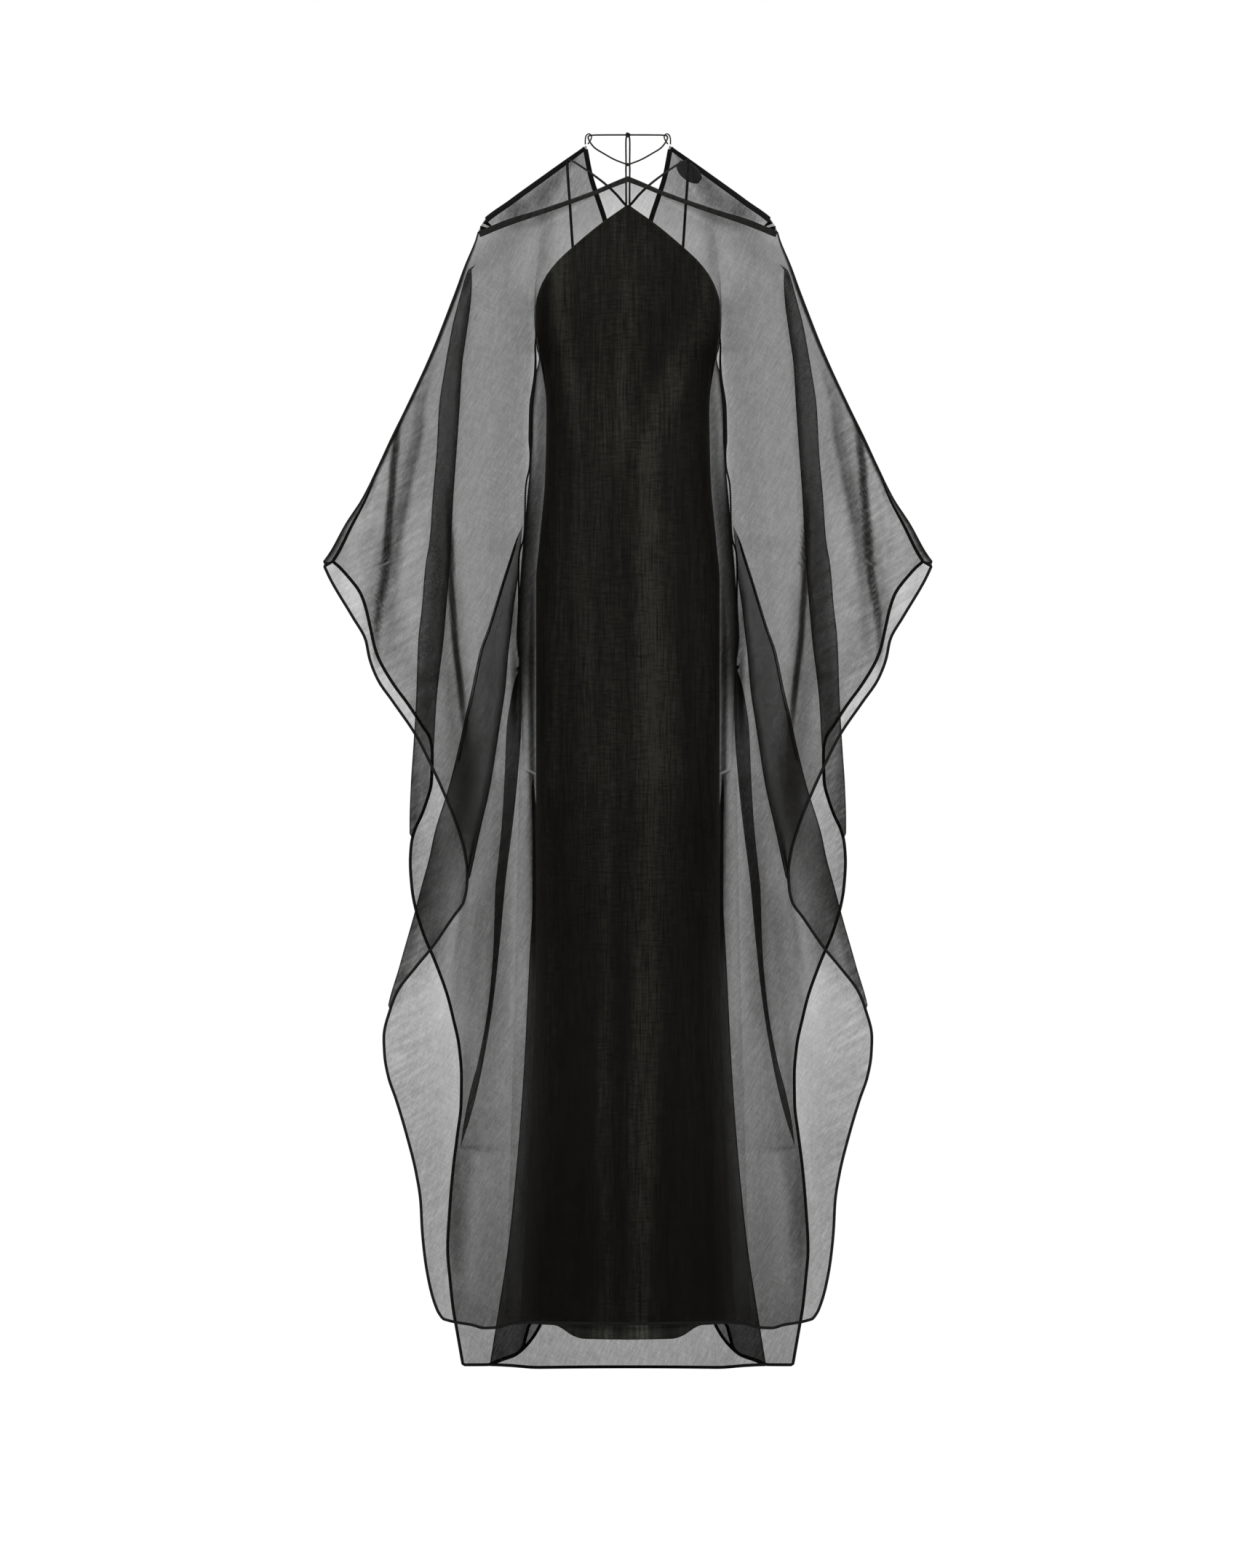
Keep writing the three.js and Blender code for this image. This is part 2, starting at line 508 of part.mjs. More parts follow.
function neckBinding() {
  const NECK_BINDING_END = 190;
  const steps = 16;
  const row = (share) =>
    Array.from({ length: 2 * steps + 1 }, (_, i) => {
      const x = (NECK_BINDING_END * (i - steps)) / steps;
      const reach = Math.abs(x);
      const drop = necklineDrop(reach) + share * NECK_BINDING_WIDTH;
      return new THREE.Vector3(x, frontDepthAt(reach, -drop) - ON_PANEL - STEEP_EASE, -drop);
    });
  return wallOf(skinOf([row(0), row(0.5), row(1)]), TAPE_WALL);
}

function topBinding(side) {
  const [START, END] = [61, 190];
  const steps = 12;
  const row = (share) =>
    Array.from({ length: steps + 1 }, (_, i) => {
      const reach = mix(START, END, i / steps);
      const drop = backTopDrop(reach) + share * TOP_BINDING_WIDTH;
      return new THREE.Vector3(side * reach, backDepthAt(reach, -drop) + ON_PANEL + BINDING_EASE, -drop);
    });
  const rows = [row(0), row(0.5), row(1)];
  return wallOf(skinOf(side < 0 ? rows : rows.map((r) => r.reverse())), TAPE_WALL);
}

function openingBinding(side) {
  const [START, END] = [12, 214];
  const steps = 14;
  const rows = Array.from({ length: steps + 1 }, (_, i) => {
    const drop = mix(START, END, i / steps);
    return [0, 0.5, 1].map((share) => {
      const reach = backOpening.reach(drop) + 1 + share * OPENING_BINDING_WIDTH;
      return new THREE.Vector3(side * reach, backDepthAt(reach, -drop) + ON_PANEL + BINDING_EASE, -drop);
    });
  });
  return wallOf(skinOf(side < 0 ? rows : rows.map((r) => r.reverse())), TAPE_WALL);
}

function seamTape(side) {
  const levels = [140, 170, 200, 240, 285, 335, 385, 435, 480, 515, 538];
  const rows = levels.map((drop) => {
    const seam = seamTurn(drop);
    const perMillimetre = turnPerMillimetre(drop, seam);
    return [-0.5, 0, 0.5].map((share) => {
      const turn = seam + share * SEAM_TAPE_WIDTH * perMillimetre;
      const p = armPoint(drop, turn);
      const along = armPoint(drop, turn + SMALL_TURN).sub(p);
      const outward = new THREE.Vector3(along.y, -along.x, 0).normalize();
      p.addScaledVector(outward, ON_PANEL + BINDING_EASE);
      return new THREE.Vector3(side * p.x, p.y, p.z);
    });
  });
  return wallOf(skinOf(side > 0 ? rows : rows.map((r) => r.reverse())), TAPE_WALL);
}

// ---------------------------------------------------------------- cords, straps, knots and label
const vector = (point, side = 1) => new THREE.Vector3(side * point[0], point[1], point[2]);

function cord(route, side, radius, steps) {
  const section = new THREE.Shape();
  section.absarc(0, 0, radius, 0, 2 * Math.PI);
  const path = new THREE.CatmullRomCurve3(route.map((p) => vector(p, side)), false, "centripetal");
  const options = { extrudePath: path, steps, curveSegments: 4, bevelEnabled: false };
  return new THREE.ExtrudeGeometry(section, options);
}

const NAPE = [0, 50, 15.5];
const THROAT = [0, -60, -27];
const neckRoute = [
  [4, 49.6, 15.5], [18, 47, 15.4], [34, 38, 15], [46, 23, 14.2], [51.5, 6, 12], [50, -16, 5],
  [43, -34, -4.5], [31, -47, -12.5], [17, -55, -20.5], [2.45, -59.5, -26.3],
];
const frontLoopRoute = [[2.4, -59.6, -29.4], [2.4, -59.2, -42], [2.3, -63, -60], [2, -70.5, -78.6]];
const backCordRoute = [[2.2, 51.2, 11.6], [2.4, 57, -20], [2.4, 69, -70], [2.4, 82, -140], [2.4, 93.6, -219]];
const sideLoopRoute = [
  [55.6, 14, 2], [55.6, 11.5, 8], [54.4, 9.4, 13.2], [51, 8.4, 15.6], [47.6, 9, 13], [48.4, 11.5, 8],
  [52.2, 13.8, 2.2],
];
const SIDE_LOOP_RADIUS = 0.9;
const strapRoute = [
  [5.4, -70.6, -77.4], [15, -64, -66], [28.5, -55, -53], [46, -40, -39], [62, -24, -27.5],
  [73, -11, -20.5], [78, -1, -19.5], [79, 6, -25], [78, 17, -45], [76, 34, -73], [72, 55, -133],
  [67, 64, -190], [65, 67.2, -238],
];
const STRAP_WIDTH = 3.6;

function strap(side) {
  const path = new THREE.CatmullRomCurve3(strapRoute.map((p) => vector(p, side)), false, "centripetal");
  const steps = 26;
  const rows = Array.from({ length: steps + 1 }, (_, i) => {
    const p = path.getPointAt(i / steps);
    const along = path.getTangentAt(i / steps);
    const across = new THREE.Vector3(1, 0, 0).addScaledVector(along, -along.x).normalize();
    return [0.5, -0.5].map((share) => p.clone().addScaledVector(across, share * STRAP_WIDTH));
  });
  return wallOf(skinOf(rows), TAPE_WALL);
}

function knot(centre, radius) {
  const ball = new THREE.SphereGeometry(radius, 10, 6);
  ball.deleteAttribute("normal");
  ball.deleteAttribute("uv");
  const welded = mergeVertices(ball, WELD);
  welded.translate(...centre);
  return welded;
}

// A plain cloth label inside the back, below the top binding, on the wearer's left.
function label() {
  const [WIDTH, HEIGHT, CORNER] = [32, 24, 5];
  const centre = { reach: 80, drop: 38 };
  const tilt = Math.atan2(SHOULDER_DROP, backTop.reach(SHOULDER_DROP) - backTop.reach(0));
  const columns = [-1, -0.8, -0.4, 0, 0.4, 0.8, 1];
  const rows = columns.map((v) =>
    columns.map((u) => {
      const cornerX = Math.abs(v) === 1 ? WIDTH / 2 - CORNER : WIDTH / 2;
      const [a, b] = [u * cornerX, (v * HEIGHT) / 2];
      const reach = centre.reach + a * Math.cos(tilt) - b * Math.sin(tilt);
      const drop = centre.drop + a * Math.sin(tilt) + b * Math.cos(tilt);
      return new THREE.Vector3(reach, backDepthAt(reach, -drop) - ON_PANEL - STEEP_EASE, -drop);
    }),
  );
  return wallOf(skinOf(rows), TAPE_WALL);
}

// ---------------------------------------------------------------- the object
const cloth = (colour, roughness, extra = {}) =>
  new THREE.MeshStandardMaterial({ color: colour, roughness, metalness: 0, ...extra });
const sheer = cloth(0x1b1b1a, 0.7, { transparent: true, opacity: 0.6 });
const slipCloth = cloth(0x17170f, 0.6);
const tape = cloth(0x0b0b0a, 0.55);
const cording = cloth(0x14130f, 0.5);

const kaftan = new THREE.Group();
function add(name, geometry, material) {
  const mesh = new THREE.Mesh(geometry, material);
  mesh.name = name;
  kaftan.add(mesh);
}

add("kaftan_front", kaftanFront(), sheer);
add("kaftan_back", kaftanBack(), sheer);
add("slip_front", slipHalf(slipFrontSize, slipFrontLevels, true), slipCloth);
add("slip_back", slipHalf(slipBackSize, slipBackLevels, false), slipCloth);
add("front_neck_binding", neckBinding(), tape);
add("nape_knot", knot(NAPE, KNOT_RADIUS), cording);
add("throat_knot", knot(THROAT, THROAT_KNOT_RADIUS), cording);
add("label", label(), tape);
for (const [name, side] of [["left", -1], ["right", 1]]) {
  add("back_top_binding_" + name, topBinding(side), tape);
  add("back_opening_binding_" + name, openingBinding(side), tape);
  add("overarm_seam_" + name, seamTape(side), tape);
  add("slip_strap_" + name, strap(side), tape);
  add("neck_cord_" + name, cord(neckRoute, side, CORD_RADIUS, 18), cording);
  add("front_loop_" + name, cord(frontLoopRoute, side, CORD_RADIUS, 8), cording);
  add("back_cord_" + name, cord(backCordRoute, side, CORD_RADIUS, 9), cording);
  add("side_loop_" + name, cord(sideLoopRoute, side, SIDE_LOOP_RADIUS, 12), cording);
}

export default kaftan;
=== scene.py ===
# %% [markdown]
# # A sheer kaftan over its halter slip
# The garment is black crinkled organza, cut as two wide panels that hang from a neck cord. Under it
# hangs a plain opaque slip. The kaftan is shown in the hollow form that it has when it is worn.
# Cloth this thin is a surface with no thickness worth building, so every panel here is one open
# sheet, made from rows of points that cross it from the middle to its free edge.

# %% Load the frame
import math
from types import SimpleNamespace

import bmesh
import bpy
import numpy as np
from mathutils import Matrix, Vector
from mathutils.bvhtree import BVHTree


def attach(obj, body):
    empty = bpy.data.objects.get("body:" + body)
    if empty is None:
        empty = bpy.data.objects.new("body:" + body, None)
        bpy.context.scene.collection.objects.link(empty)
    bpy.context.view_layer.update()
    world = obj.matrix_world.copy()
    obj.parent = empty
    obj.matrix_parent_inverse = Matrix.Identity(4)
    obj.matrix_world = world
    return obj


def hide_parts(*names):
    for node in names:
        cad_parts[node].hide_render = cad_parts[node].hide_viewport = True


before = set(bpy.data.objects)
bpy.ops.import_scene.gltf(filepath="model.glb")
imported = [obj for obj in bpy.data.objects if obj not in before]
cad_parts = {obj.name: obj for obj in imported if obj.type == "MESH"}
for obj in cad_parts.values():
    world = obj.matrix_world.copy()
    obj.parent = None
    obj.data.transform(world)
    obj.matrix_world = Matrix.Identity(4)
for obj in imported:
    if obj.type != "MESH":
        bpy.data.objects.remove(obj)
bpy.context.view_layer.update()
MM = 0.001
MIRROR = (-1, 1, 1)  # takes a point to the garment's other half

# %% [markdown]
# ## Camera, light and floor
# A long lens far away keeps the panels' outlines free of perspective, as a catalogue camera does.
# See-through black cloth is drawn by what lies behind it, so the background has to be even. The
# world and the floor therefore show one plain white to the camera, and a softer grey light falls
# on the cloth itself, with three large soft lamps that give the slip its sheen, to which painted
# sheen in the slip's colour is added.

# %% Camera
IMAGE_PIXELS = (1725, 2156)
PIXEL_SIZE = 0.95 * MM  # of the cloth's plane
CENTRE_LINE_PIXEL = 863
NECK_PIXEL = 200  # the row that holds the origin
CAMERA_DISTANCE = 24.0
SENSOR = 36.0

camera = bpy.data.objects.new("camera", bpy.data.cameras.new("camera"))
bpy.context.scene.collection.objects.link(camera)
bpy.context.scene.camera = camera
camera.location = (
    (IMAGE_PIXELS[0] / 2 - CENTRE_LINE_PIXEL) * PIXEL_SIZE,
    -CAMERA_DISTANCE,
    (NECK_PIXEL - IMAGE_PIXELS[1] / 2) * PIXEL_SIZE,
)
camera.rotation_euler = (math.pi / 2, 0, 0)
camera.data.sensor_width = SENSOR
camera.data.lens = SENSOR * CAMERA_DISTANCE / (IMAGE_PIXELS[1] * PIXEL_SIZE)
camera.data.clip_end = 200
bpy.context.scene.view_settings.view_transform = "Standard"
print("camera lens", round(camera.data.lens, 1), "mm")


# %% Node helpers
def node(tree, kind, inputs=None, **settings):
    """Adds a node, sets its settings, and its inputs from values or from other sockets."""
    made = tree.nodes.new(kind)
    for key, value in settings.items():
        setattr(made, key, value)
    for key, value in (inputs or {}).items():
        if isinstance(value, bpy.types.NodeSocket):
            tree.links.new(value, made.inputs[key])
        else:
            made.inputs[key].default_value = value
    return made


def math_node(tree, operation, *values):
    return node(tree, "ShaderNodeMath", dict(enumerate(values)), operation=operation).outputs[0]


# %% World, floor and lamps
BACKGROUND = 1.0  # what the camera sees
ROOM_LIGHT = 0.55  # what falls on the cloth from all round
FLOOR_HEIGHT = -1.63
FLOOR_RADIUS = 3.0

world = bpy.data.worlds.new("studio")
bpy.context.scene.world = world
world.use_nodes = True
tree = world.node_tree
tree.nodes.clear()
seen = node(tree, "ShaderNodeLightPath").outputs["Is Camera Ray"]
room = node(tree, "ShaderNodeBackground", {"Color": (1, 1, 1, 1), "Strength": ROOM_LIGHT})
backdrop = node(tree, "ShaderNodeBackground", {"Color": (1, 1, 1, 1), "Strength": BACKGROUND})
both = node(tree, "ShaderNodeMixShader", {0: seen, 1: room.outputs[0], 2: backdrop.outputs[0]})
node(tree, "ShaderNodeOutputWorld", {"Surface": both.outputs[0]})

floor_material = bpy.data.materials.new("pale floor")
floor_material.use_nodes = True
tree = floor_material.node_tree
tree.nodes.clear()
seen = node(tree, "ShaderNodeLightPath").outputs["Is Camera Ray"]
matt = node(tree, "ShaderNodeBsdfDiffuse", {"Color": (0.8, 0.8, 0.8, 1)})
plain = node(tree, "ShaderNodeEmission", {"Color": (1, 1, 1, 1), "Strength": BACKGROUND})
both = node(tree, "ShaderNodeMixShader", {0: seen, 1: matt.outputs[0], 2: plain.outputs[0]})
node(tree, "ShaderNodeOutputMaterial", {"Surface": both.outputs[0]})

floor_mesh = bpy.data.meshes.new("floor")
shape = bmesh.new()
bmesh.ops.create_circle(shape, cap_ends=True, segments=64, radius=FLOOR_RADIUS)
bmesh.ops.translate(shape, verts=shape.verts, vec=(0, 0, FLOOR_HEIGHT))
shape.to_mesh(floor_mesh)
shape.free()
floor = bpy.data.objects.new("floor", floor_mesh)
bpy.context.scene.collection.objects.link(floor)
floor.data.materials.append(floor_material)

LAMPS = {  # place, size and power of each soft box, all aimed at the middle of the gown
    "key_lamp": ((-2.6, -3.4, 0.9), 1.8, 95),
    "fill_lamp": ((2.8, -3.0, 0.4), 1.8, 70),
    "top_lamp": ((0.0, 1.4, 2.4), 1.6, 40),
}
GOWN_MIDDLE = Vector((0, 0, -0.75))
for name, (place, size, power) in LAMPS.items():
    lamp = bpy.data.objects.new(name, bpy.data.lights.new(name, "AREA"))
    bpy.context.scene.collection.objects.link(lamp)
    lamp.location = place
    lamp.rotation_euler = (GOWN_MIDDLE - lamp.location).to_track_quat("-Z", "Y").to_euler()
    lamp.data.size = size
    lamp.data.energy = power
print("lamps:", len(LAMPS))

# %% [markdown]
# ## Sizes as smooth lines
# A dressmaker writes a shape down as widths at given heights. The tables here do the same: the
# first column is the height or the reach, and the others are read between the rows along a smooth
# line that never swings past its points. All of them are in millimetres. A height is a drop below
# the base of the neck, a reach is a distance from the middle, and a depth one from the plane
# through both shoulders.


# %% Tables and smooth lines
def smooth(t):
    u = np.clip(t, 0, 1)
    return u * u * (3 - 2 * u)


def mix(a, b, t):
    return a + (b - a) * t


def smooth_line(keys, values):
    """A line through the points that never swings past them."""
    keys, values = np.array(keys, float), np.array(values, float)
    slope = np.diff(values) / np.diff(keys)
    tangent = np.zeros(len(keys))
    tangent[0], tangent[-1] = slope[0], slope[-1]
    steady = slope[:-1] * slope[1:] > 0
    total = np.where(steady, slope[:-1] + slope[1:], 1)
    tangent[1:-1] = np.where(steady, 2 * slope[:-1] * slope[1:] / total, 0)

    def line(key):
        key = np.clip(key, keys[0], keys[-1])
        i = np.clip(np.searchsorted(keys, key, side="right") - 1, 0, len(keys) - 2)
        width = keys[i + 1] - keys[i]
        t = (key - keys[i]) / width
        near = values[i] * (1 + 2 * t) * (1 - t) ** 2 + tangent[i] * width * t * (1 - t) ** 2
        far = values[i + 1] * t * t * (3 - 2 * t) + tangent[i + 1] * width * t * t * (t - 1)
        return near + far

    return line


def table(names, rows):
    """Named columns, each a smooth line over the first one."""
    columns = list(zip(*rows))
    lines = [smooth_line(columns[0], column) for column in columns[1:]]
    return SimpleNamespace(**dict(zip(names.split()[1:], lines)))


# %% Driving sizes, in millimetres
FOLD_GAP = 8  # depth from one layer of a large fold to the next
PLEAT_GAP = 3
FOLD_OPENING = 14  # a fold has its full gap once it is this wide
PLEAT_OPENING = 10
BACK_CORNER_REACH = 55  # the back's neck corners, where the neck cord holds it
NECKLINE_TOP = 42
SHOULDER_DROP = 112  # where the front neckline meets the back's top edge
SHOULDER_REACH = 194
OPENING_END = 225
WRIST_DROP = 543
HEM_START = 1520  # below this the rows bend towards the hem lines
FRONT_HEM_CORNER = 1531
BELOW_FRONT_HEM = 1546
BACK_HEM_CORNER = 1595
SWELL_REACH = 60  # past the flank the cloth takes this long to stand off
print("whole length:", BACK_HEM_CORNER, "mm, shoulders", 2 * SHOULDER_REACH, "mm apart")

# %% Outlines of the panels
neckline = table("drop reach", [
    (NECKLINE_TOP, 0), (50, 20), (59, 41), (71.5, 75), (85.5, 117), (97, 155),
    (SHOULDER_DROP, SHOULDER_REACH),
])
back_top = table("drop reach", [
    (0, BACK_CORNER_REACH), (35, 103), (70, 151), (100, 189.5), (106, 192.5),
    (SHOULDER_DROP, SHOULDER_REACH),
])
back_opening = table("drop reach", [
    (0, 54), (38, 46.5), (59, 40), (98, 27), (160, 12), (OPENING_END, 0),
])
# inset is how far the overarm seam lies inside the sleeve's outline, round the radius of its curve
arm = table("drop reach inset round", [
    (SHOULDER_DROP, 195, 0, 1), (124, 198.5, 0, 3), (157, 213, 0.5, 5), (188, 224.5, 0.5, 6),
    (209, 232.5, 0.5, 6), (266, 255, 0.5, 6), (342, 290, 1, 6), (380, 308.7, 1.5, 6),
    (418, 326.3, 1.5, 7), (461, 347.5, 5, 9), (494, 369, 9, 13), (532, 390, 11, 15),
    (WRIST_DROP, 398, 12, 16),
])
front_edge = table("drop reach", [
    (WRIST_DROP, 399), (567, 388), (616, 359), (646, 342), (670, 337), (698, 326), (727, 306),
    (770, 276.5), (808, 257), (852, 237), (893, 221), (926, 212), (950, 209), (969, 210), (988, 214),
    (1007, 227.5), (1045, 253.5), (1073, 276.5), (1104, 300), (1126, 309), (1164, 318), (1188, 317),
    (1216, 312), (1245, 302), (1292, 288), (1340, 276), (1378, 270), (1415, 268), (1454, 264),
    (1492, 257), (HEM_START, 248), (FRONT_HEM_CORNER, 241),
])
back_edge = table("drop reach", [
    (WRIST_DROP, 384), (565, 364), (584, 350), (603, 343), (629, 337), (656, 331), (670, 326),
    (703, 307), (729, 288), (758, 269), (774, 259), (793, 256), (831, 257), (855, 263), (879, 272),
    (891, 278), (912, 283.5), (936, 285), (969, 283), (993, 279), (1031, 267.5), (1064, 253.5),
    (1112, 236), (1140, 229), (1178, 221), (1216, 218), (1254, 218.5), (1292, 223), (1340, 229),
    (1387, 233), (1444, 236), (1482, 233), (HEM_START, 229), (1549, 224), (BACK_HEM_CORNER, 216),
])
front_hem = table("reach drop", [
    (0, 1535), (120, 1534.5), (150, 1537), (173, 1542.5), (188, 1543), (202, 1539), (226, 1535),
    (241, FRONT_HEM_CORNER),
])
back_hem = table("reach drop", [
    (0, 1599), (117, 1599), (155, 1596), (181, BACK_HEM_CORNER), (216, BACK_HEM_CORNER),
])
folded_hem = table("reach drop", [
    (112, 1536), (117, 1548), (131, 1568), (147, 1582), (165, 1588), (181, BACK_HEM_CORNER),
])
inner_hem = table("reach drop", [
    (112, 1533), (129, 1535), (132, 1560), (137, 1573), (148, 1583), (165, 1589),
    (181, BACK_HEM_CORNER),
])

# %% [markdown]
# ## Folds
# Each large fold is a Z: the cloth runs out to one line, turns back to a second line nearer to the
# middle, and turns out again. Seen from the front the three layers make a dark band between the
# two lines. Giving the two lines by height keeps the band's edges clean, which a cloth simulation
# would not do.

# %% Fold lines
front_fold = table("drop out back", [
    (480, 132, 136), (500, 139, 138), (515, 146, 139), (542, 155, 141.5), (570, 164, 144),
    (603, 174, 149), (632, 183, 152), (660, 193, 155.5), (712, 204, 160), (746, 212, 165),
    (779, 219, 170), (836, 233, 179), (898, 252, 193), (931, 259, 200), (964, 268, 207),
    (1009, 280, 214), (1069, 297, 220), (1135, 314, 226), (BELOW_FRONT_HEM, 330, 240),
])
arm_fold = table("drop out back", [
    (148, 199, 207), (160, 208, 204.5), (175, 214, 204), (190, 218, 204.5), (209, 223, 206),
    (228, 228, 208.5), (256, 233.5, 212.5), (285, 238.5, 216.5), (342, 247, 220), (399, 250, 224),
    (456, 255, 228), (513, 259, 231), (551, 265, 233), (599, 269, 237), (646, 274, 241),
    (722, 277, 250), (788, 281, 254), (840, 284.5, 257), (884, 286, 259), (941, 285.5, 262),
])
hip_pleat = table("drop out back", [
    (680, 141, 142), (703, 149, 139.5), (735, 155, 139), (760, 158.5, 139.5), (817, 161, 143.5),
    (884, 165, 150.5), (931, 169.5, 156.5), (950, 171.5, 159), (969, 173.5, 161), (1045, 176, 168),
    (1121, 182.5, 176.5), (1197, 196, 189), (1235, 206, 197), (1273, 214, 207), (1301, 218, 216),
    (1320, 220, 222),
])
leg_fold = table("drop out back", [
    (800, 122, 126), (845, 126, 122), (900, 125, 117), (988, 125, 113), (1045, 128, 112),
    (1235, 138, 112), (1425, 155, 112), (1545, 173, 112), (BACK_HEM_CORNER, 181, 112),
])
FRONT_LAYERS = (955, 1125)  # the free edge runs into the fold's second and innermost layer here
BACK_LAYERS = (793, 905)
FOLD_CHECK = 850  # the drop at which the folds' widths are printed


def layer_at(drop, layers):
    """The layer of the large fold that ends in the free edge, counted from the body out."""
    return 3 - sum(drop >= start for start in layers)


for name, fold in {"front": front_fold, "arm": arm_fold, "hip": hip_pleat, "leg": leg_fold}.items():
    width = float(fold.out(FOLD_CHECK) - fold.back(FOLD_CHECK))
    print(f"{name} fold: {width:.0f} mm wide at a drop of {FOLD_CHECK} mm")

# %% Depths of the panels
# middle is the depth on the centre line. flank_reach and flank say where the body's side lies and how
# deep. swell is how far the cloth stands off past it, rim the depth at the edge, and wrap is 0 where
# the cloth lies round the body and 1 where it hangs free.
front_depth = table("drop middle flank_reach flank swell rim wrap", [
    (NECKLINE_TOP, 62, 0, 62, 0, 62, 1), (50, 66, 12, 65, 0, 61, 1), (59, 70, 24, 67, 0, 60, 1),
    (72, 75, 45, 69, 2, 54, 1), (88, 82, 70, 69, 3, 40, 1), (100, 87, 92, 67, 4, 22, 1),
    (SHOULDER_DROP, 92, 112, 65, 4, 4, 1), (157, 101, 118, 68, 4, 20, 1),
    (190, 106, 121, 62, 4, 28, 0.8), (228, 108, 122, 36, 6, 30, 0.4), (266, 107, 119, 8, 12, 30, 0),
    (276, 106, 116, 0.8, 14, 30, 0), (304, 105, 121.6, 0.8, 15, 30, 0),
    (361, 104, 126.4, 0.8, 16, 30, 0), (418, 104, 128, 0.8, 17, 29, 0), (466, 104, 132, 0.8, 18, 28, 0),
    (513, 105, 136, 0.8, 18, 26, 0), (546, 106, 139, 0.8, 20, 24, 0), (560, 106, 140, 0.8, 20, 20, 0),
    (599, 107, 142.5, 0.8, 20, 22, 0), (646, 107, 144.4, 0.8, 20, 28, 0),
    (665, 107, 142.5, 2, 20, 31, 0.1), (720, 108, 142, 12, 19, 38, 0.5), (800, 110, 142, 24, 16, 50, 1),
    (940, 113, 144, 34, 14, 65, 1), (1200, 121, 150, 44, 8, 60, 1),
    (BELOW_FRONT_HEM, 136, 160, 58, 4, 60, 1),
])
back_depth = table("drop middle flank_reach flank swell rim wrap", [
    (0, 14, 54.5, 13.8, 0, 13.5, 1), (19, 32, 62, 23, 0, 12, 1), (38, 46, 72, 31, 0, 10, 1),
    (59, 59, 84, 40, 0, 8, 1), (98, 80, 104, 55, -4, 5, 1), (SHOULDER_DROP, 85, 112, 58, -8, 4, 1),
    (157, 94, 118, 62, -22, 26, 1), (190, 96, 121, 58, -22, 44, 0.8), (228, 96, 122, 36, -6, 46, 0.4),
    (266, 96, 119, 8, 18, 46, 0), (276, 96, 116, 0.8, 24, 45, 0), (304, 96, 121.6, 0.8, 24, 44, 0),
    (361, 97, 126.4, 0.8, 24, 44, 0), (418, 98, 128, 0.8, 24, 42, 0), (466, 100, 132, 0.8, 24, 40, 0),
    (513, 103, 136, 0.8, 24, 38, 0), (546, 105, 139, 0.8, 24, 36, 0), (599, 107, 142.5, 0.8, 24, 38, 0),
    (646, 107, 144.4, 0.8, 22, 42, 0), (665, 107, 142.5, 2, 20, 44, 0.1),
    (720, 106, 140, 20, 8, 50, 0.5), (774, 105, 138, 40, 0, 60, 0.8), (845, 105, 136, 60, -14, 66, 1),
    (931, 105, 140, 70, -22, 70, 1), (BACK_HEM_CORNER, 112, 145, 76, -22, 76, 1),
])
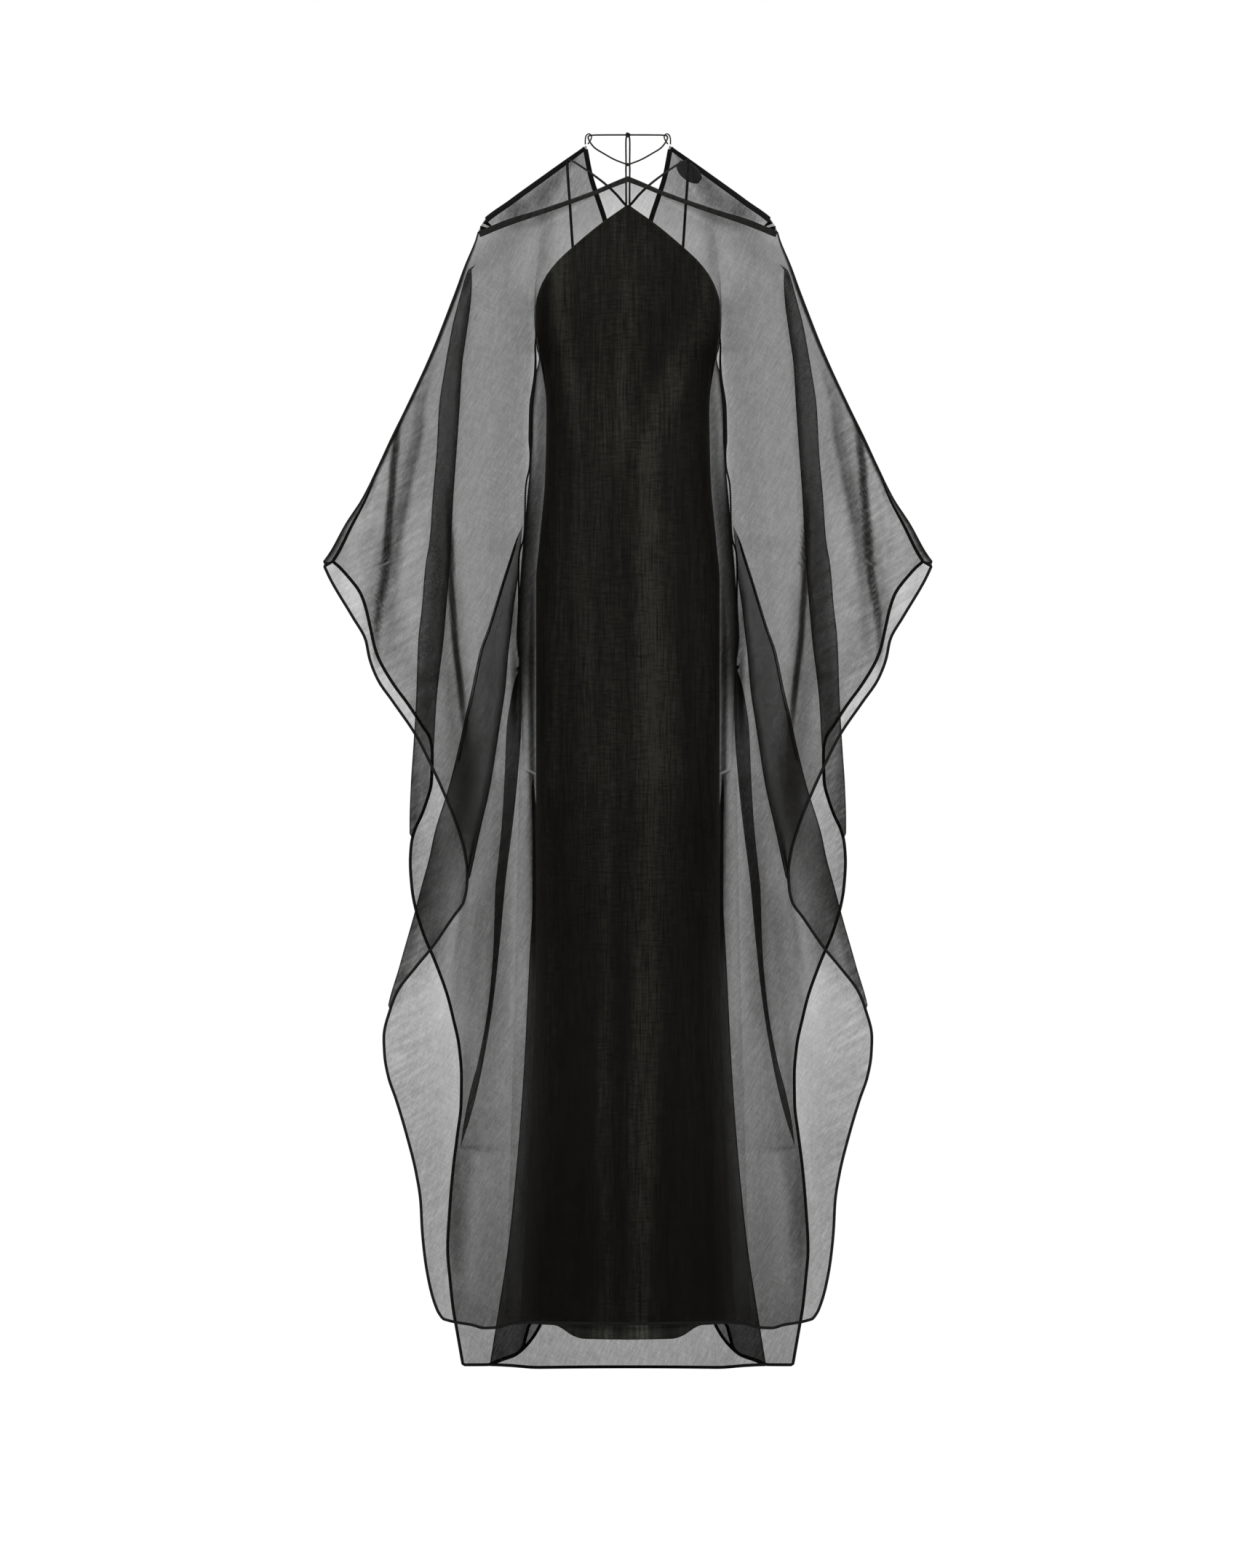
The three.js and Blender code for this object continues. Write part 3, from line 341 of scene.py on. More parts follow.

# %% [markdown]
# ## Soft creases
# Sleeves of stiff organza break into a few soft creases where the arm bends. Each is a line on the
# sleeve, with a width and a depth, and pushes the sheet out or in along a rounded trough. They are
# placed one by one because creases that repeat look like corrugated board. Each crease also says
# how much darker the cloth is drawn along it: partly for threads bunched tighter, partly as painted
# shade, and as painted light where the value is negative. A few have no height and are only that
# painted shade or light, such as the bands beside the slip.

# %% Creases
CREASES = {  # lines as (drop, reach), half width, height, and how much darker the cloth is drawn along it
    "front": [
        ([(230, 246), (290, 256), (342, 272), (373, 274), (418, 284), (465, 293), (494, 299),
          (532, 305), (570, 309), (650, 318)], 6, -6, 0.8),
        ([(300, 296), (399, 303), (418, 306), (440, 307), (494, 312), (532, 315), (570, 318.5),
          (608, 325), (646, 328), (700, 326)], 3.5, 7, 3.9),
        ([(480, 320), (520, 322), (570, 329), (610, 336), (660, 336)], 9, -3, 0.7),
        ([(500, 300), (540, 303), (570, 309), (620, 312), (700, 318)], 10, -3, 0.5),
        ([(480, 384), (560, 378), (640, 362), (700, 345)], 12, 0, 0.25),
        ([(430, 236), (480, 234), (532, 231), (570, 230.5), (608, 228), (646, 225.5), (700, 219),
          (760, 213), (800, 209)], 3.0, 4, 5),
        ([(480, 238), (560, 236), (646, 231), (722, 226), (800, 218), (900, 210)], 13, -4, 0.7),
        ([(340, 262), (400, 266), (470, 280), (520, 284)], 10, 5, 0.12),
        ([(400, 318), (470, 334), (540, 352)], 10, 5, -0.3),
        ([(300, 300), (420, 335), (500, 350), (620, 372)], 22, 0, -0.1),
        ([(420, 285), (465, 293), (494, 297), (520, 301), (575, 308)], 9, 0, 0.5),
        ([(960, 266), (1010, 277), (1045, 284), (1090, 297), (1150, 312)], 7, 0, 0.6),
        ([(520, 223), (646, 219), (800, 203)], 8, 0, 0.35),
        ([(560, 262), (660, 266), (760, 252)], 16, 5, -0.15),
        ([(600, 372), (640, 350), (700, 322)], 9, -5, 0.3),
        ([(760, 196), (840, 210), (930, 226)], 10, 5, 0.35),
        ([(860, 252), (950, 262), (1040, 277)], 12, 0, 0.5),
        ([(1000, 236), (1060, 262), (1120, 290)], 10, -4, 0.3),
        ([(1060, 160), (1200, 176), (1330, 196), (1430, 214)], 9, -5, 0.05),
        ([(1240, 206), (1330, 218), (1420, 228), (1500, 232)], 7, 5, 0.3),
        ([(960, 186), (1060, 196), (1180, 200)], 8, 5, 0.3),
        ([(640, 240), (720, 236), (800, 232), (880, 228)], 14, 0, 0.35),
    ],
    "back": [
        ([(300, 262), (380, 282), (470, 300), (560, 318)], 12, 6, 0.35),
        ([(420, 322), (500, 340), (560, 348)], 8, -5, 0.3),
        ([(560, 300), (640, 300), (720, 286)], 12, 6, 0.2),
        ([(0, 200), (160, 207), (228, 219), (342, 233), (456, 241), (551, 249), (646, 257), (788, 267),
          (1150, 276)], 15, 0, 0.25),
        ([(380, 237), (418, 240), (494, 246), (570, 250), (646, 256), (722, 262), (850, 268)],
          17, 0, 0.35),
        ([(-20, 170), (60, 158), (95, 146), (112, 141)], 14, 0, 0.8),
        ([(520, 124), (600, 124.5), (703, 126), (760, 125.5), (884, 125), (950, 124), (1100, 123)],
          3.5, 0, 2.6),
        ([(900, 120), (1045, 121), (1140, 125), (1300, 129), (1425, 138), (1520, 145)], 6.5, 0, 0.4),
        ([(1100, 204), (1235, 213), (1330, 223), (1400, 226), (1500, 226)], 8, 0, 0.7),
        ([(560, 149), (620, 148), (660, 147), (720, 148), (780, 150)], 4, 0, 1.8),
        ([(700, 280), (790, 281), (860, 280), (930, 282), (1000, 282)], 6, 0, 0.5),
        ([(560, 146), (703, 144), (760, 149), (817, 152), (884, 157.5), (950, 165), (1045, 172),
          (1140, 180)], 8, 0, 0.4),
        ([(1480, 205), (1560, 203), (1640, 202)], 14, 0, 0.3),
        ([(760, 160), (874, 168), (950, 176), (1104, 184), (1299, 206), (1400, 216), (1475, 222),
          (1700, 226)], 8, -3, 0.4),
        ([(1000, 235), (1120, 262), (1200, 290)], 14, 5, 0.2),
        ([(1290, 236), (1380, 226), (1480, 222)], 10, -4, 0.25),
        ([(940, 190), (1040, 205), (1160, 212)], 12, -5, 0.25),
    ],
}
# Painted shade beside the slip, and painted light where the value is negative
SHADE_AND_LIGHT_BESIDE_SLIP = [  # bands on both panels, as above but without a height
    ([(370, 115), (470, 122), (513, 126), (580, 132), (640, 136), (760, 137)], 12, 0.35),
    ([(20, 100), (110, 110), (190, 117)], 12, 0.3),
    ([(190, 121), (228, 121), (262, 117), (276, 115), (304, 117), (361, 122), (418, 124), (520, 130)],
      7, -0.5),
    ([(640, 132), (798, 136), (874, 140), (950, 143), (1080, 142), (1250, 146)], 16, -0.3),
    ([(900, 212), (1000, 228), (1045, 234), (1100, 240), (1200, 245)], 18, -0.3),
]
for found in CREASES.values():
    found += [(line, half_width, 0, darkening) for line, half_width, darkening in SHADE_AND_LIGHT_BESIDE_SLIP]
CREASE_FADE = 0.3  # share of a crease over which each end fades


def crease_share(line, half_width, reach, drop, fade=CREASE_FADE):
    """How much of a crease is felt at some points, from 0 to 1."""
    drops, reaches = zip(*line)
    share = (drop - drops[0]) / (drops[-1] - drops[0])
    ends = smooth(share / fade) * smooth((1 - share) / fade)
    off = (reach - smooth_line(drops, reaches)(drop)) / half_width
    return ends * np.exp(-off * off)


def crease_height(panel, reach, drop):
    height = np.zeros_like(reach)
    for line, half_width, tall, _ in CREASES[panel]:
        height += tall * crease_share(line, half_width, reach, drop)
    return height


print("creases:", {panel: len(found) for panel, found in CREASES.items()})


# %% [markdown]
# ## Rows of a sheer panel
# A row is one line across the cloth at one height, as pairs of reach and depth: round the body,
# past the flank, through the folds, out to the edge, and round the arm to the overarm seam. Every
# row has the same number of points, so that rows join into a grid. Where a fold has not begun its
# points lie on top of one another, and are welded later.

# %% How many points each stretch takes
BODY_STEPS = 26
FLANK_STEPS = 4
SIDE_STEPS = 20
TURN_STEPS = 6
LAYER_STEPS = 9
OUTER_STEPS = 64
ARM_STEPS = 9
BODY_ROUNDNESS = 2.5  # 2 for an oval, more for a squarer one
UNFOLDED_SHARE = 0.9  # how far towards the rim a fold's points wait where it has not begun
LEG_FOLD_STEEPNESS = 1.2  # the leg fold's gap, as a share of its width
FOLD_POINTS = 2 * (TURN_STEPS + 1) + LAYER_STEPS - 1
print("points in a fold:", FOLD_POINTS)


def body_depth(size, drop, reach):
    """Depth of the stretch that goes round the body, from the middle to the flank."""
    flank_reach = size.flank_reach(drop)
    share = np.clip(reach / flank_reach, 0, 1) if flank_reach > 0 else np.ones_like(reach)
    oval = (1 - share**BODY_ROUNDNESS) ** (1 / BODY_ROUNDNESS)
    worn = 0.6 * oval + 0.4 * (1 - share**3)  # a squarish oval, eased at the flank
    free = 0.5 * np.cos(share * math.pi / 2) + 0.5 * (1 - share**2)
    return mix(size.flank(drop), size.middle(drop), mix(worn, free, size.wrap(drop)))


def layer_depth(size, drop, reach):
    """Depth of the innermost layer past the flank."""
    past = (reach - size.flank_reach(drop)) / SWELL_REACH
    return size.flank(drop) + size.swell(drop) * smooth(past)


def stack(*stretches):
    return np.concatenate([np.array(stretch, float).reshape(-1, 2) for stretch in stretches])


def line_of(reach, depth):
    return np.column_stack([reach, depth])


def turn_radius(out, back, gap):
    """Radius of a fold's two turns, so that a narrow fold still has a flat stretch between them."""
    return min(gap / 2, (out - back) / 3)


def fold_points(out, back, gap, depth_at, cut=None):
    """The points of a Z fold. cut is (layer, reach) where the free edge lies inside it."""
    turn = turn_radius(out, back, gap)
    angle = np.linspace(-math.pi / 2, math.pi / 2, TURN_STEPS + 1)
    layers = 0.5 + 0.5 * np.sin(angle)
    first = out - turn + turn * np.cos(angle)
    second = back + turn - turn * np.cos(angle)
    end = cut[1] if cut and cut[0] == 2 else back + turn
    middle = np.linspace(out - turn, end, LAYER_STEPS + 1)[1:-1]
    reach = np.concatenate([first, middle, second])
    layer = np.concatenate([layers, np.ones(len(middle)), 1 + layers])
    if cut and cut[0] == 1:
        reach[:], layer[:] = cut[1], 0
    if cut and cut[0] == 2:
        tail = len(first) + len(middle)
        reach[tail:], layer[tail:] = cut[1], 1
    return line_of(reach, depth_at(reach) + layer * gap)


def still(point, count):
    """A stretch that has no length here: the same point over and over."""
    return np.repeat([point], count, axis=0)


def bowed(start, rim, rim_depth, swell):
    """Depth along a stretch that eases from a point into the rim and stands off on the way."""

    def depth(reach):
        t = np.clip((reach - start[0]) / max(rim - start[0], 0.01), 0, 1)
        return mix(start[1], rim_depth, smooth(t)) + swell * 2 * t * (1 - t)

    return depth


def past_flank(row, panel, size, drop, fold, rim, edge, layer, swell=0, lift=0):
    """Adds the side of the body, the large fold and the stretch outside it to a row."""
    start = row[-1]
    out, back = float(fold.out(drop)), float(fold.back(drop))
    opened = float(smooth((out - back) / FOLD_OPENING))
    plain = bowed(start, rim, size.rim(drop), swell)

    def depth_at(reach):
        return mix(plain(reach), layer_depth(size, drop, reach) + lift, opened if layer == 3 else 1)

    inner = out if opened else min((out + back) / 2, mix(start[0], rim, UNFOLDED_SHARE))
    inner = min(inner, edge) if layer == 1 else inner
    side = mix(start[0], inner, np.linspace(0, 1, SIDE_STEPS + 2)[1:-1])
    sides = line_of(side, depth_at(side) + (crease_height(panel, side, drop) if layer == 1 else 0))
    if opened:
        folds = fold_points(out, back, FOLD_GAP * opened, depth_at, (layer, edge))
    elif layer == 1:
        folds = still((edge, float(depth_at(edge))), FOLD_POINTS)
    else:
        folds = still((inner, float(depth_at(inner))), FOLD_POINTS)
    outer = still(folds[-1], OUTER_STEPS)
    if layer == 3:
        reach = mix(folds[-1, 0], rim, np.arange(1, OUTER_STEPS + 1) / OUTER_STEPS)
        hung = bowed(folds[-1], rim, size.rim(drop), swell)(reach)
        outer = line_of(reach, mix(plain(reach), hung, opened))
        outer[:-1, 1] += crease_height(panel, outer[:-1, 0], drop)
    return stack(row, sides, folds, outer)


# %% Round the arm
def is_on_arm(drop):
    return SHOULDER_DROP <= drop <= WRIST_DROP


def seam_turn(drop):
    """The turn of the arm's outline at which the overarm seam lies."""
    return math.pi - math.asin(1 - arm.inset(drop) / arm.round(drop))


def arm_point(drop, turn):
    """A point of the arm's curve. No turn faces the front and half a turn the back."""
    size = front_depth if turn < math.pi / 2 else back_depth
    reach = arm.reach(drop) - arm.round(drop) * (1 - math.sin(turn))
    return reach, -size.rim(drop) * math.cos(turn)


def rim_reach(drop, neck_edge, edge):
    if drop < SHOULDER_DROP:
        return neck_edge.reach(drop)
    return arm.reach(drop) - arm.round(drop) if is_on_arm(drop) else edge.reach(drop)


def with_arm(row, drop, side, start_turn):
    """Places a row and adds the points round the arm. side is -1 for the front, 1 for the back."""
    points = [(reach, side * depth, -drop) for reach, depth in row]
    for i in range(1, ARM_STEPS + 1):
        if is_on_arm(drop):
            reach, depth = arm_point(drop, mix(start_turn, seam_turn(drop), i / ARM_STEPS))
            points.append((reach, depth, -drop))
        else:
            points.append(points[-1])
    return np.array(points)


# %% The front panel's rows
CROWDING = 2.2  # the points crowd towards the flank, where the cloth turns
body_shares = 1 - (1 - np.linspace(0, 1, BODY_STEPS + 1)) ** CROWDING


def front_row(drop):
    size = front_depth
    reach = body_shares * float(size.flank_reach(drop))
    row = line_of(reach, body_depth(size, drop, reach))
    layer = layer_at(drop, FRONT_LAYERS)
    rim, edge = float(rim_reach(drop, neckline, front_edge)), float(front_edge.reach(drop))
    swell = float(size.swell(drop))
    row = past_flank(row, "front", size, drop, front_fold, rim, edge, layer, swell)
    return with_arm(row, drop, -1, 0)


# %% The back panel's rows
def back_body(size, drop):
    """From the middle to the flank, with the leg fold once it has begun, and the lift it leaves."""
    out, back = float(leg_fold.out(drop)), float(leg_fold.back(drop))
    if out <= back:
        start = back_opening.reach(drop) if drop < OPENING_END else 0
        reach = mix(start, size.flank_reach(drop), body_shares)
        row = line_of(reach, body_depth(size, drop, reach))
        return stack(row, still(row[-1], FOLD_POINTS)), 0
    gap = min(FOLD_GAP, (out - back) * LEG_FOLD_STEEPNESS)
    reach = body_shares * (out - turn_radius(out, back, gap))
    fold = fold_points(out, back, gap, lambda r: body_depth(size, drop, r))
    return stack(line_of(reach, body_depth(size, drop, reach)), fold), 2 * gap


def back_row(drop):
    size = back_depth
    layer = layer_at(drop, BACK_LAYERS)
    row, lift = back_body(size, drop)
    flank = mix(row[-1, 0], float(size.flank_reach(drop)), np.linspace(0, 1, FLANK_STEPS + 1)[1:])
    row = stack(row, line_of(flank, body_depth(size, drop, flank) + lift))
    out, back = float(hip_pleat.out(drop)), float(hip_pleat.back(drop))
    pleat = still(row[-1], FOLD_POINTS)
    if out > back:
        gap = PLEAT_GAP * float(smooth((out - back) / PLEAT_OPENING))
        pleat = fold_points(out, back, gap, lambda r: layer_depth(size, drop, r) + lift)
        lift += 2 * gap
    row = stack(row, pleat)
    rim, edge = float(rim_reach(drop, back_top, back_edge)), float(back_edge.reach(drop))
    row = past_flank(row, "back", size, drop, arm_fold, rim, edge, layer, 0, lift)
    return with_arm(row, drop, 1, math.pi)


# %% Rows from the top to the hem
ROW_STEP = 7.0
HEM_ROWS = 8


def levels(top, *fixed):
    """Heights from the top to where the hem starts, evenly spaced between the fixed ones."""
    stops = sorted({top, HEM_START, *fixed})
    found = [float(top)]
    for low, high in zip(stops, stops[1:]):
        count = max(1, round((high - low) / ROW_STEP))
        found += [low + (high - low) * i / count for i in range(1, count + 1)]
    return found


def rows_to_hem(row_at, corner, hem_drop):
    """Rows below the last level share out what is left down to the hem line."""
    found = []
    for i in range(1, HEM_ROWS + 1):
        row = row_at(mix(HEM_START, corner, i / HEM_ROWS))
        row[:, 2] = -mix(HEM_START, hem_drop(row), i / HEM_ROWS)
        found.append(row)
    return found


LEG_FOLD_TURN = BODY_STEPS + 1 + TURN_STEPS // 2  # column of the leg fold's outer line
LEG_FOLD_RETURN = LEG_FOLD_TURN + TURN_STEPS + LAYER_STEPS  # and of its inner one


def back_hem_drop(row):
    column = np.arange(len(row))
    folded = (column > LEG_FOLD_TURN) & (row[:, 0] < leg_fold.out(BACK_HEM_CORNER))
    inner = folded_hem.drop(row[:, 0])
    inner = np.where(column > LEG_FOLD_RETURN, inner_hem.drop(row[:, 0]), inner)
    return np.where(folded, inner, back_hem.drop(row[:, 0]))


front_rows = [front_row(drop) for drop in levels(NECKLINE_TOP, SHOULDER_DROP, WRIST_DROP)]
front_rows += rows_to_hem(front_row, FRONT_HEM_CORNER, lambda row: front_hem.drop(row[:, 0]))
back_rows = [back_row(drop) for drop in levels(0, SHOULDER_DROP, WRIST_DROP, OPENING_END)]
back_rows += rows_to_hem(back_row, BACK_HEM_CORNER, back_hem_drop)
for name, rows in {"front": front_rows, "back": back_rows}.items():
    print(name, "panel:", len(rows), "rows of", len(rows[0]), "points")


# %% [markdown]
# ## From rows to a sheet
# The half that was worked out is mirrored, both halves become one mesh, and points that lie on
# top of one another are welded. That closes the centre line and takes away the folds where they
# have no length.

# %% Sheet meshes
WELD = 0.02 * MM


def grid_faces(height, width, start, flip):
    quads = []
    for i in range(height - 1):
        for j in range(width - 1):
            a = start + i * width + j
            quad = (a, a + 1, a + width + 1, a + width)
            quads.append(quad[::-1] if flip else quad)
    return quads


def new_object(name, mesh):
    made = bpy.data.objects.new(name, mesh)
    bpy.context.scene.collection.objects.link(made)
    return made


def sheet(name, rows, facing, paint, value_at):
    """A welded sheet from rows of one half. facing is -1 where its outside looks to the front.

    Each point gets a number named paint, which value_at works out from the points.
    """
    half = np.array(rows)
    other = half * MIRROR
    points = np.concatenate([half.reshape(-1, 3), other.reshape(-1, 3)]) * MM
    height, width = half.shape[:2]
    faces = grid_faces(height, width, 0, facing > 0)
    faces += grid_faces(height, width, height * width, facing < 0)
    mesh = bpy.data.meshes.new(name)
    mesh.from_pydata(points.tolist(), [], faces)
    values = value_at(points / MM).astype(np.float32)
    mesh.attributes.new(paint, "FLOAT", "POINT").data.foreach_set("value", values)
    shape = bmesh.new()
    shape.from_mesh(mesh)
    bmesh.ops.remove_doubles(shape, verts=shape.verts, dist=WELD)
    bmesh.ops.dissolve_degenerate(shape, edges=shape.edges, dist=WELD)
    loose = [v for v in shape.verts if not v.link_faces]
    bmesh.ops.delete(shape, geom=loose, context="VERTS")
    for face in shape.faces:
        face.smooth = True
    shape.to_mesh(mesh)
    area = sum(face.calc_area() for face in shape.faces)
    outward = sum(face.normal.y * face.calc_area() for face in shape.faces)
    shape.free()
    print(f"{name}: {len(mesh.polygons)} faces, {area:.3f} m2, faces {outward / area:+.2f} along Y")
    return new_object(name, mesh)


# %% [markdown]
# ## How close the threads lie, and painted shade
# One layer of organza lets through about half of the light. Each point of a panel carries a number,
# called closeness_and_shade, which its material reads: the higher it is, the darker the cloth. It
# stands partly for cloth that is crinkled or drawn together, so that its threads lie tighter, and
# partly for painted shade, or painted light where it is lowered. It comes from a table by height,
# from the creases, from a painted shade line along the inner turn of each large fold, and, on the
# back, from a darker patch above the front's neckline.

# %% Closeness of the threads
FINE = np.linspace(0, SHOULDER_DROP, 400)
BELOW_NECK = FINE[FINE > NECKLINE_TOP]


def neckline_drop(reach):
    return np.interp(reach, neckline.reach(BELOW_NECK), BELOW_NECK)


# How dark the cloth is drawn at each height, on the body and the sleeve: partly tighter threads, partly
# painted shade and painted light
front_closeness_and_shade = table("drop body sleeve", [
    (NECKLINE_TOP, 1.2, 1.0), (100, 0.8, 0.72), (130, 0.8, 0.74), (180, 0.95, 0.9), (220, 1.02, 1.0),
    (400, 1.02, 1.0), (500, 1.02, 0.88), (640, 1.05, 0.94), (720, 1.1, 0.95), (800, 1.1, 1.1),
    (900, 1.35, 1.25), (1000, 1.35, 1.3), (1150, 1.2, 1.42), (1250, 1.2, 1.6), (1330, 1.27, 1.8),
    (1472, 1.5, 1.8), (BELOW_FRONT_HEM, 1.5, 1.8),
])
back_closeness_and_shade = table("drop body sleeve", [
    (0, 0.8, 0.8), (60, 0.78, 0.78), (100, 0.8, 0.74), (130, 0.78, 0.74), (180, 0.95, 0.9),
    (220, 1.02, 1.0), (400, 1.02, 1.0), (500, 1.02, 0.88), (640, 1.05, 0.94), (720, 1.1, 1.0),
    (800, 1.3, 1.2), (870, 1.3, 1.5), (975, 1.3, 1.7), (1100, 1.25, 1.35), (1250, 1.2, 1.15),
    (1330, 1.27, 1.2), (1472, 1.5, 1.4), (1560, 1.8, 1.8), (1600, 1.88, 1.8),
])
# Painted shade: a dark line drawn along the inner turn of each large fold
SHADED_INNER_TURNS = {  # fold, and the drops between which its inner turn shows as a dark line
    "front": [(front_fold, 520, 1160)],
    "back": [(arm_fold, 150, 740), (hip_pleat, 720, 1180)],
}
TURN_SHADE = 0.55  # how much darker the inner turn is drawn, as painted shade
TURN_INSET, TURN_HALF_WIDTH = 2.5, 4.0  # where the dark line lies in the fold, and how wide it is
TURN_FADE = 0.12
TURN_POINTS = 24
SLEEVE_START, SLEEVE_FULL = 200, 260  # reach over which the body's value turns into the sleeve's
YOKE_DARKENING = 1.0  # how much darker the back is drawn above the front's neckline
YOKE_BLEND = 5


def closeness_and_shade_of(panel, lines):
    def closeness_and_shade(points):
        reach, drop = np.abs(points[:, 0]), -points[:, 2]
        share = smooth((reach - SLEEVE_START) / (SLEEVE_FULL - SLEEVE_START))
        found = mix(lines.body(drop), lines.sleeve(drop), share)
        # each crease's darkening: partly tighter threads, partly painted shade, painted light where
        # negative
        for line, half_width, _, darkening in CREASES[panel]:
            found += darkening * crease_share(line, half_width, reach, drop)
        # a painted shade line along the inner turn of each large fold
        for fold, first, last in SHADED_INNER_TURNS[panel]:
            line = [(d, fold.back(d) + TURN_INSET) for d in np.linspace(first, last, TURN_POINTS)]
            found += TURN_SHADE * crease_share(line, TURN_HALF_WIDTH, reach, drop, TURN_FADE)
        # the back is drawn darker above the front's neckline
        if panel == "back":
            above = neckline_drop(reach) + YOKE_BLEND / 2 - drop
            found += YOKE_DARKENING * smooth(above / YOKE_BLEND)
        return found

    return closeness_and_shade


kaftan_front = sheet("kaftan_front_cloth", front_rows, -1,
                     "closeness_and_shade", closeness_and_shade_of("front", front_closeness_and_shade))
kaftan_back = sheet("kaftan_back_cloth", back_rows, 1,
                    "closeness_and_shade", closeness_and_shade_of("back", back_closeness_and_shade))

# %% [markdown]
# ## The slip
# A halter slip is a front and a back sewn together at the sides. Cut close to the body it is
# nearly a tube, so its rows are squarish half ovals whose width and depth come from a table. It
# is opaque, and gets a real thickness from a Solidify modifier.

# %% The slip's rows
SLIP_TOP = 81
SLIP_BACK_TOP = 228
SLIP_HEM_START, SLIP_HEM_DROP = 1500, 1537
SLIP_STEPS = 36
SLIP_HEM_ROWS = 4
SLIP_ROUNDNESS = 0.8
SLIP_ROW_STEP = 10
SLIP_THICKNESS = 0.9 * MM

# reach is the half width, middle the depth on the centre line, and rim the depth at the side
slip_front_size = table("drop reach middle rim", [
    (SLIP_TOP, 1.5, 72, 72), (90, 14, 75, 71.5), (100, 28.5, 78, 71), (116, 49, 81, 69),
    (133, 69, 83, 65), (152, 90, 85, 54), (171, 105.5, 87, 40), (190, 115, 89, 22), (209, 119.6, 90, 8),
    (SLIP_BACK_TOP, 119.6, 90, 0), (266, 115.5, 86, 0), (285, 109, 83, 0), (342, 105.5, 79, 0),
    (380, 105.5, 78, 0), (428, 107, 80, 0), (475, 110, 83, 0), (522, 115, 86, 0), (570, 119, 88, 0),
    (760, 119, 88, 0), (1045, 119, 92, 0), (1235, 125, 96, 0), (1425, 134, 100, 0),
    (SLIP_HEM_DROP, 140, 104, 0),
])
slip_back_size = table("drop reach middle rim", [
    (SLIP_BACK_TOP, 119.6, 78, 0), (266, 115.5, 74, 0), (342, 105.5, 70, 0), (428, 107, 78, 0),
    (522, 115, 90, 0), (570, 119, 93, 0), (700, 119, 90, 0), (1045, 119, 86, 0), (1235, 125, 86, 0),
    (1425, 134, 86, 0), (SLIP_HEM_DROP, 140, 86, 0),
])
slip_hem = table("reach drop forward", [
    (0, 1556, 14), (58, 1555, 13), (72, 1551, 9), (84, 1543, 4), (95, 1538, 1), (140, SLIP_HEM_DROP, 0),
])


def slip_row(size, drop, side):
    turn = np.linspace(0, math.pi / 2, SLIP_STEPS + 1)
    reach = size.reach(drop) * np.sin(turn) ** SLIP_ROUNDNESS
    depth = mix(size.rim(drop), size.middle(drop), np.cos(turn) ** SLIP_ROUNDNESS)
    return np.column_stack([reach, side * depth, np.full(len(turn), -drop)])


def slip_rows(size, top, side):
    count = round((SLIP_HEM_START - top) / SLIP_ROW_STEP)
    rows = [slip_row(size, mix(top, SLIP_HEM_START, i / count), side) for i in range(count + 1)]
    for i in range(1, SLIP_HEM_ROWS + 1):
        share = i / SLIP_HEM_ROWS
        row = slip_row(size, mix(SLIP_HEM_START, SLIP_HEM_DROP, share), side)
        end = slip_hem.drop(row[:, 0]) if side < 0 else SLIP_HEM_DROP
        row[:, 2] = -mix(SLIP_HEM_START, end, share)
        if side < 0:
            row[:, 1] -= slip_hem.forward(row[:, 0]) * smooth(share)
        rows.append(row)
    return rows


slip_front_rows = slip_rows(slip_front_size, SLIP_TOP, -1)
slip_back_rows = slip_rows(slip_back_size, SLIP_BACK_TOP, 1)
print("slip rows:", len(slip_front_rows), "front,", len(slip_back_rows), "back")


# %% Painted sheen where the slip catches the light
# Painted sheen on the slip: lighter bands painted into the silk's colour
PAINTED_SHEEN_BANDS = [  # a soft upright band as (drop, x), half width, strength
    ([(-60, 150), (150, 118), (240, 94), (295, 66), (351, 42), (408, 26), (700, 30), (1100, 24),
      (1400, 20), (1900, 22)], 18, 0.75),
    ([(60, -96), (180, -90), (240, -84), (300, -74), (420, -62)], 10, 0.75),
    ([(120, 4), (295, -5), (470, -10)], 12, 0.4),
    ([(-100, 0), (180, 0), (460, 0)], 80, 0.1),
    ([(-500, 0), (300, 0), (900, 0), (1350, 0)], 130, 0.15),
    ([(150, -45), (640, -45), (1200, -40)], 35, 0.2),
    ([(600, 50), (800, 60), (1050, 50)], 12, 0.25),
    ([(750, -33), (1200, -33), (1500, -31), (1950, -31)], 11, 0.35),
    ([(850, 60), (1300, 80), (1950, 90)], 40, 0.05),
    ([(250, 100), (700, 104), (1100, 106), (1500, 112)], 20, 0.14),
    ([(250, -100), (700, -104), (1100, -106), (1500, -112)], 20, 0.14),
]


# How much painted sheen each point of the slip gets
def painted_sheen(points):
    x, drop = points[:, 0], -points[:, 2]
    return sum(strong * crease_share(line, half_width, x, drop)
               for line, half_width, strong in PAINTED_SHEEN_BANDS)


def thicken(piece, thickness, offset):
    """Gives a sheet a wall: inwards for an offset of -1, and to both sides for 0."""
    wall = piece.modifiers.new("wall", "SOLIDIFY")
    wall.thickness = thickness
    wall.offset = offset


slip_front = sheet("slip_front_cloth", slip_front_rows, -1, "painted_sheen", painted_sheen)
slip_back = sheet("slip_back_cloth", slip_back_rows, 1, "painted_sheen", painted_sheen)
for half in (slip_front, slip_back):
    thicken(half, SLIP_THICKNESS, -1)

# %% [markdown]
# ## Materials
# All cloth here is black, so what tells one from the other is its weave, its sheen and how much
# light it lets through. One node group makes the crinkle that organza and silk share: streaks
# along the threads, broken up by a finer grain across them.


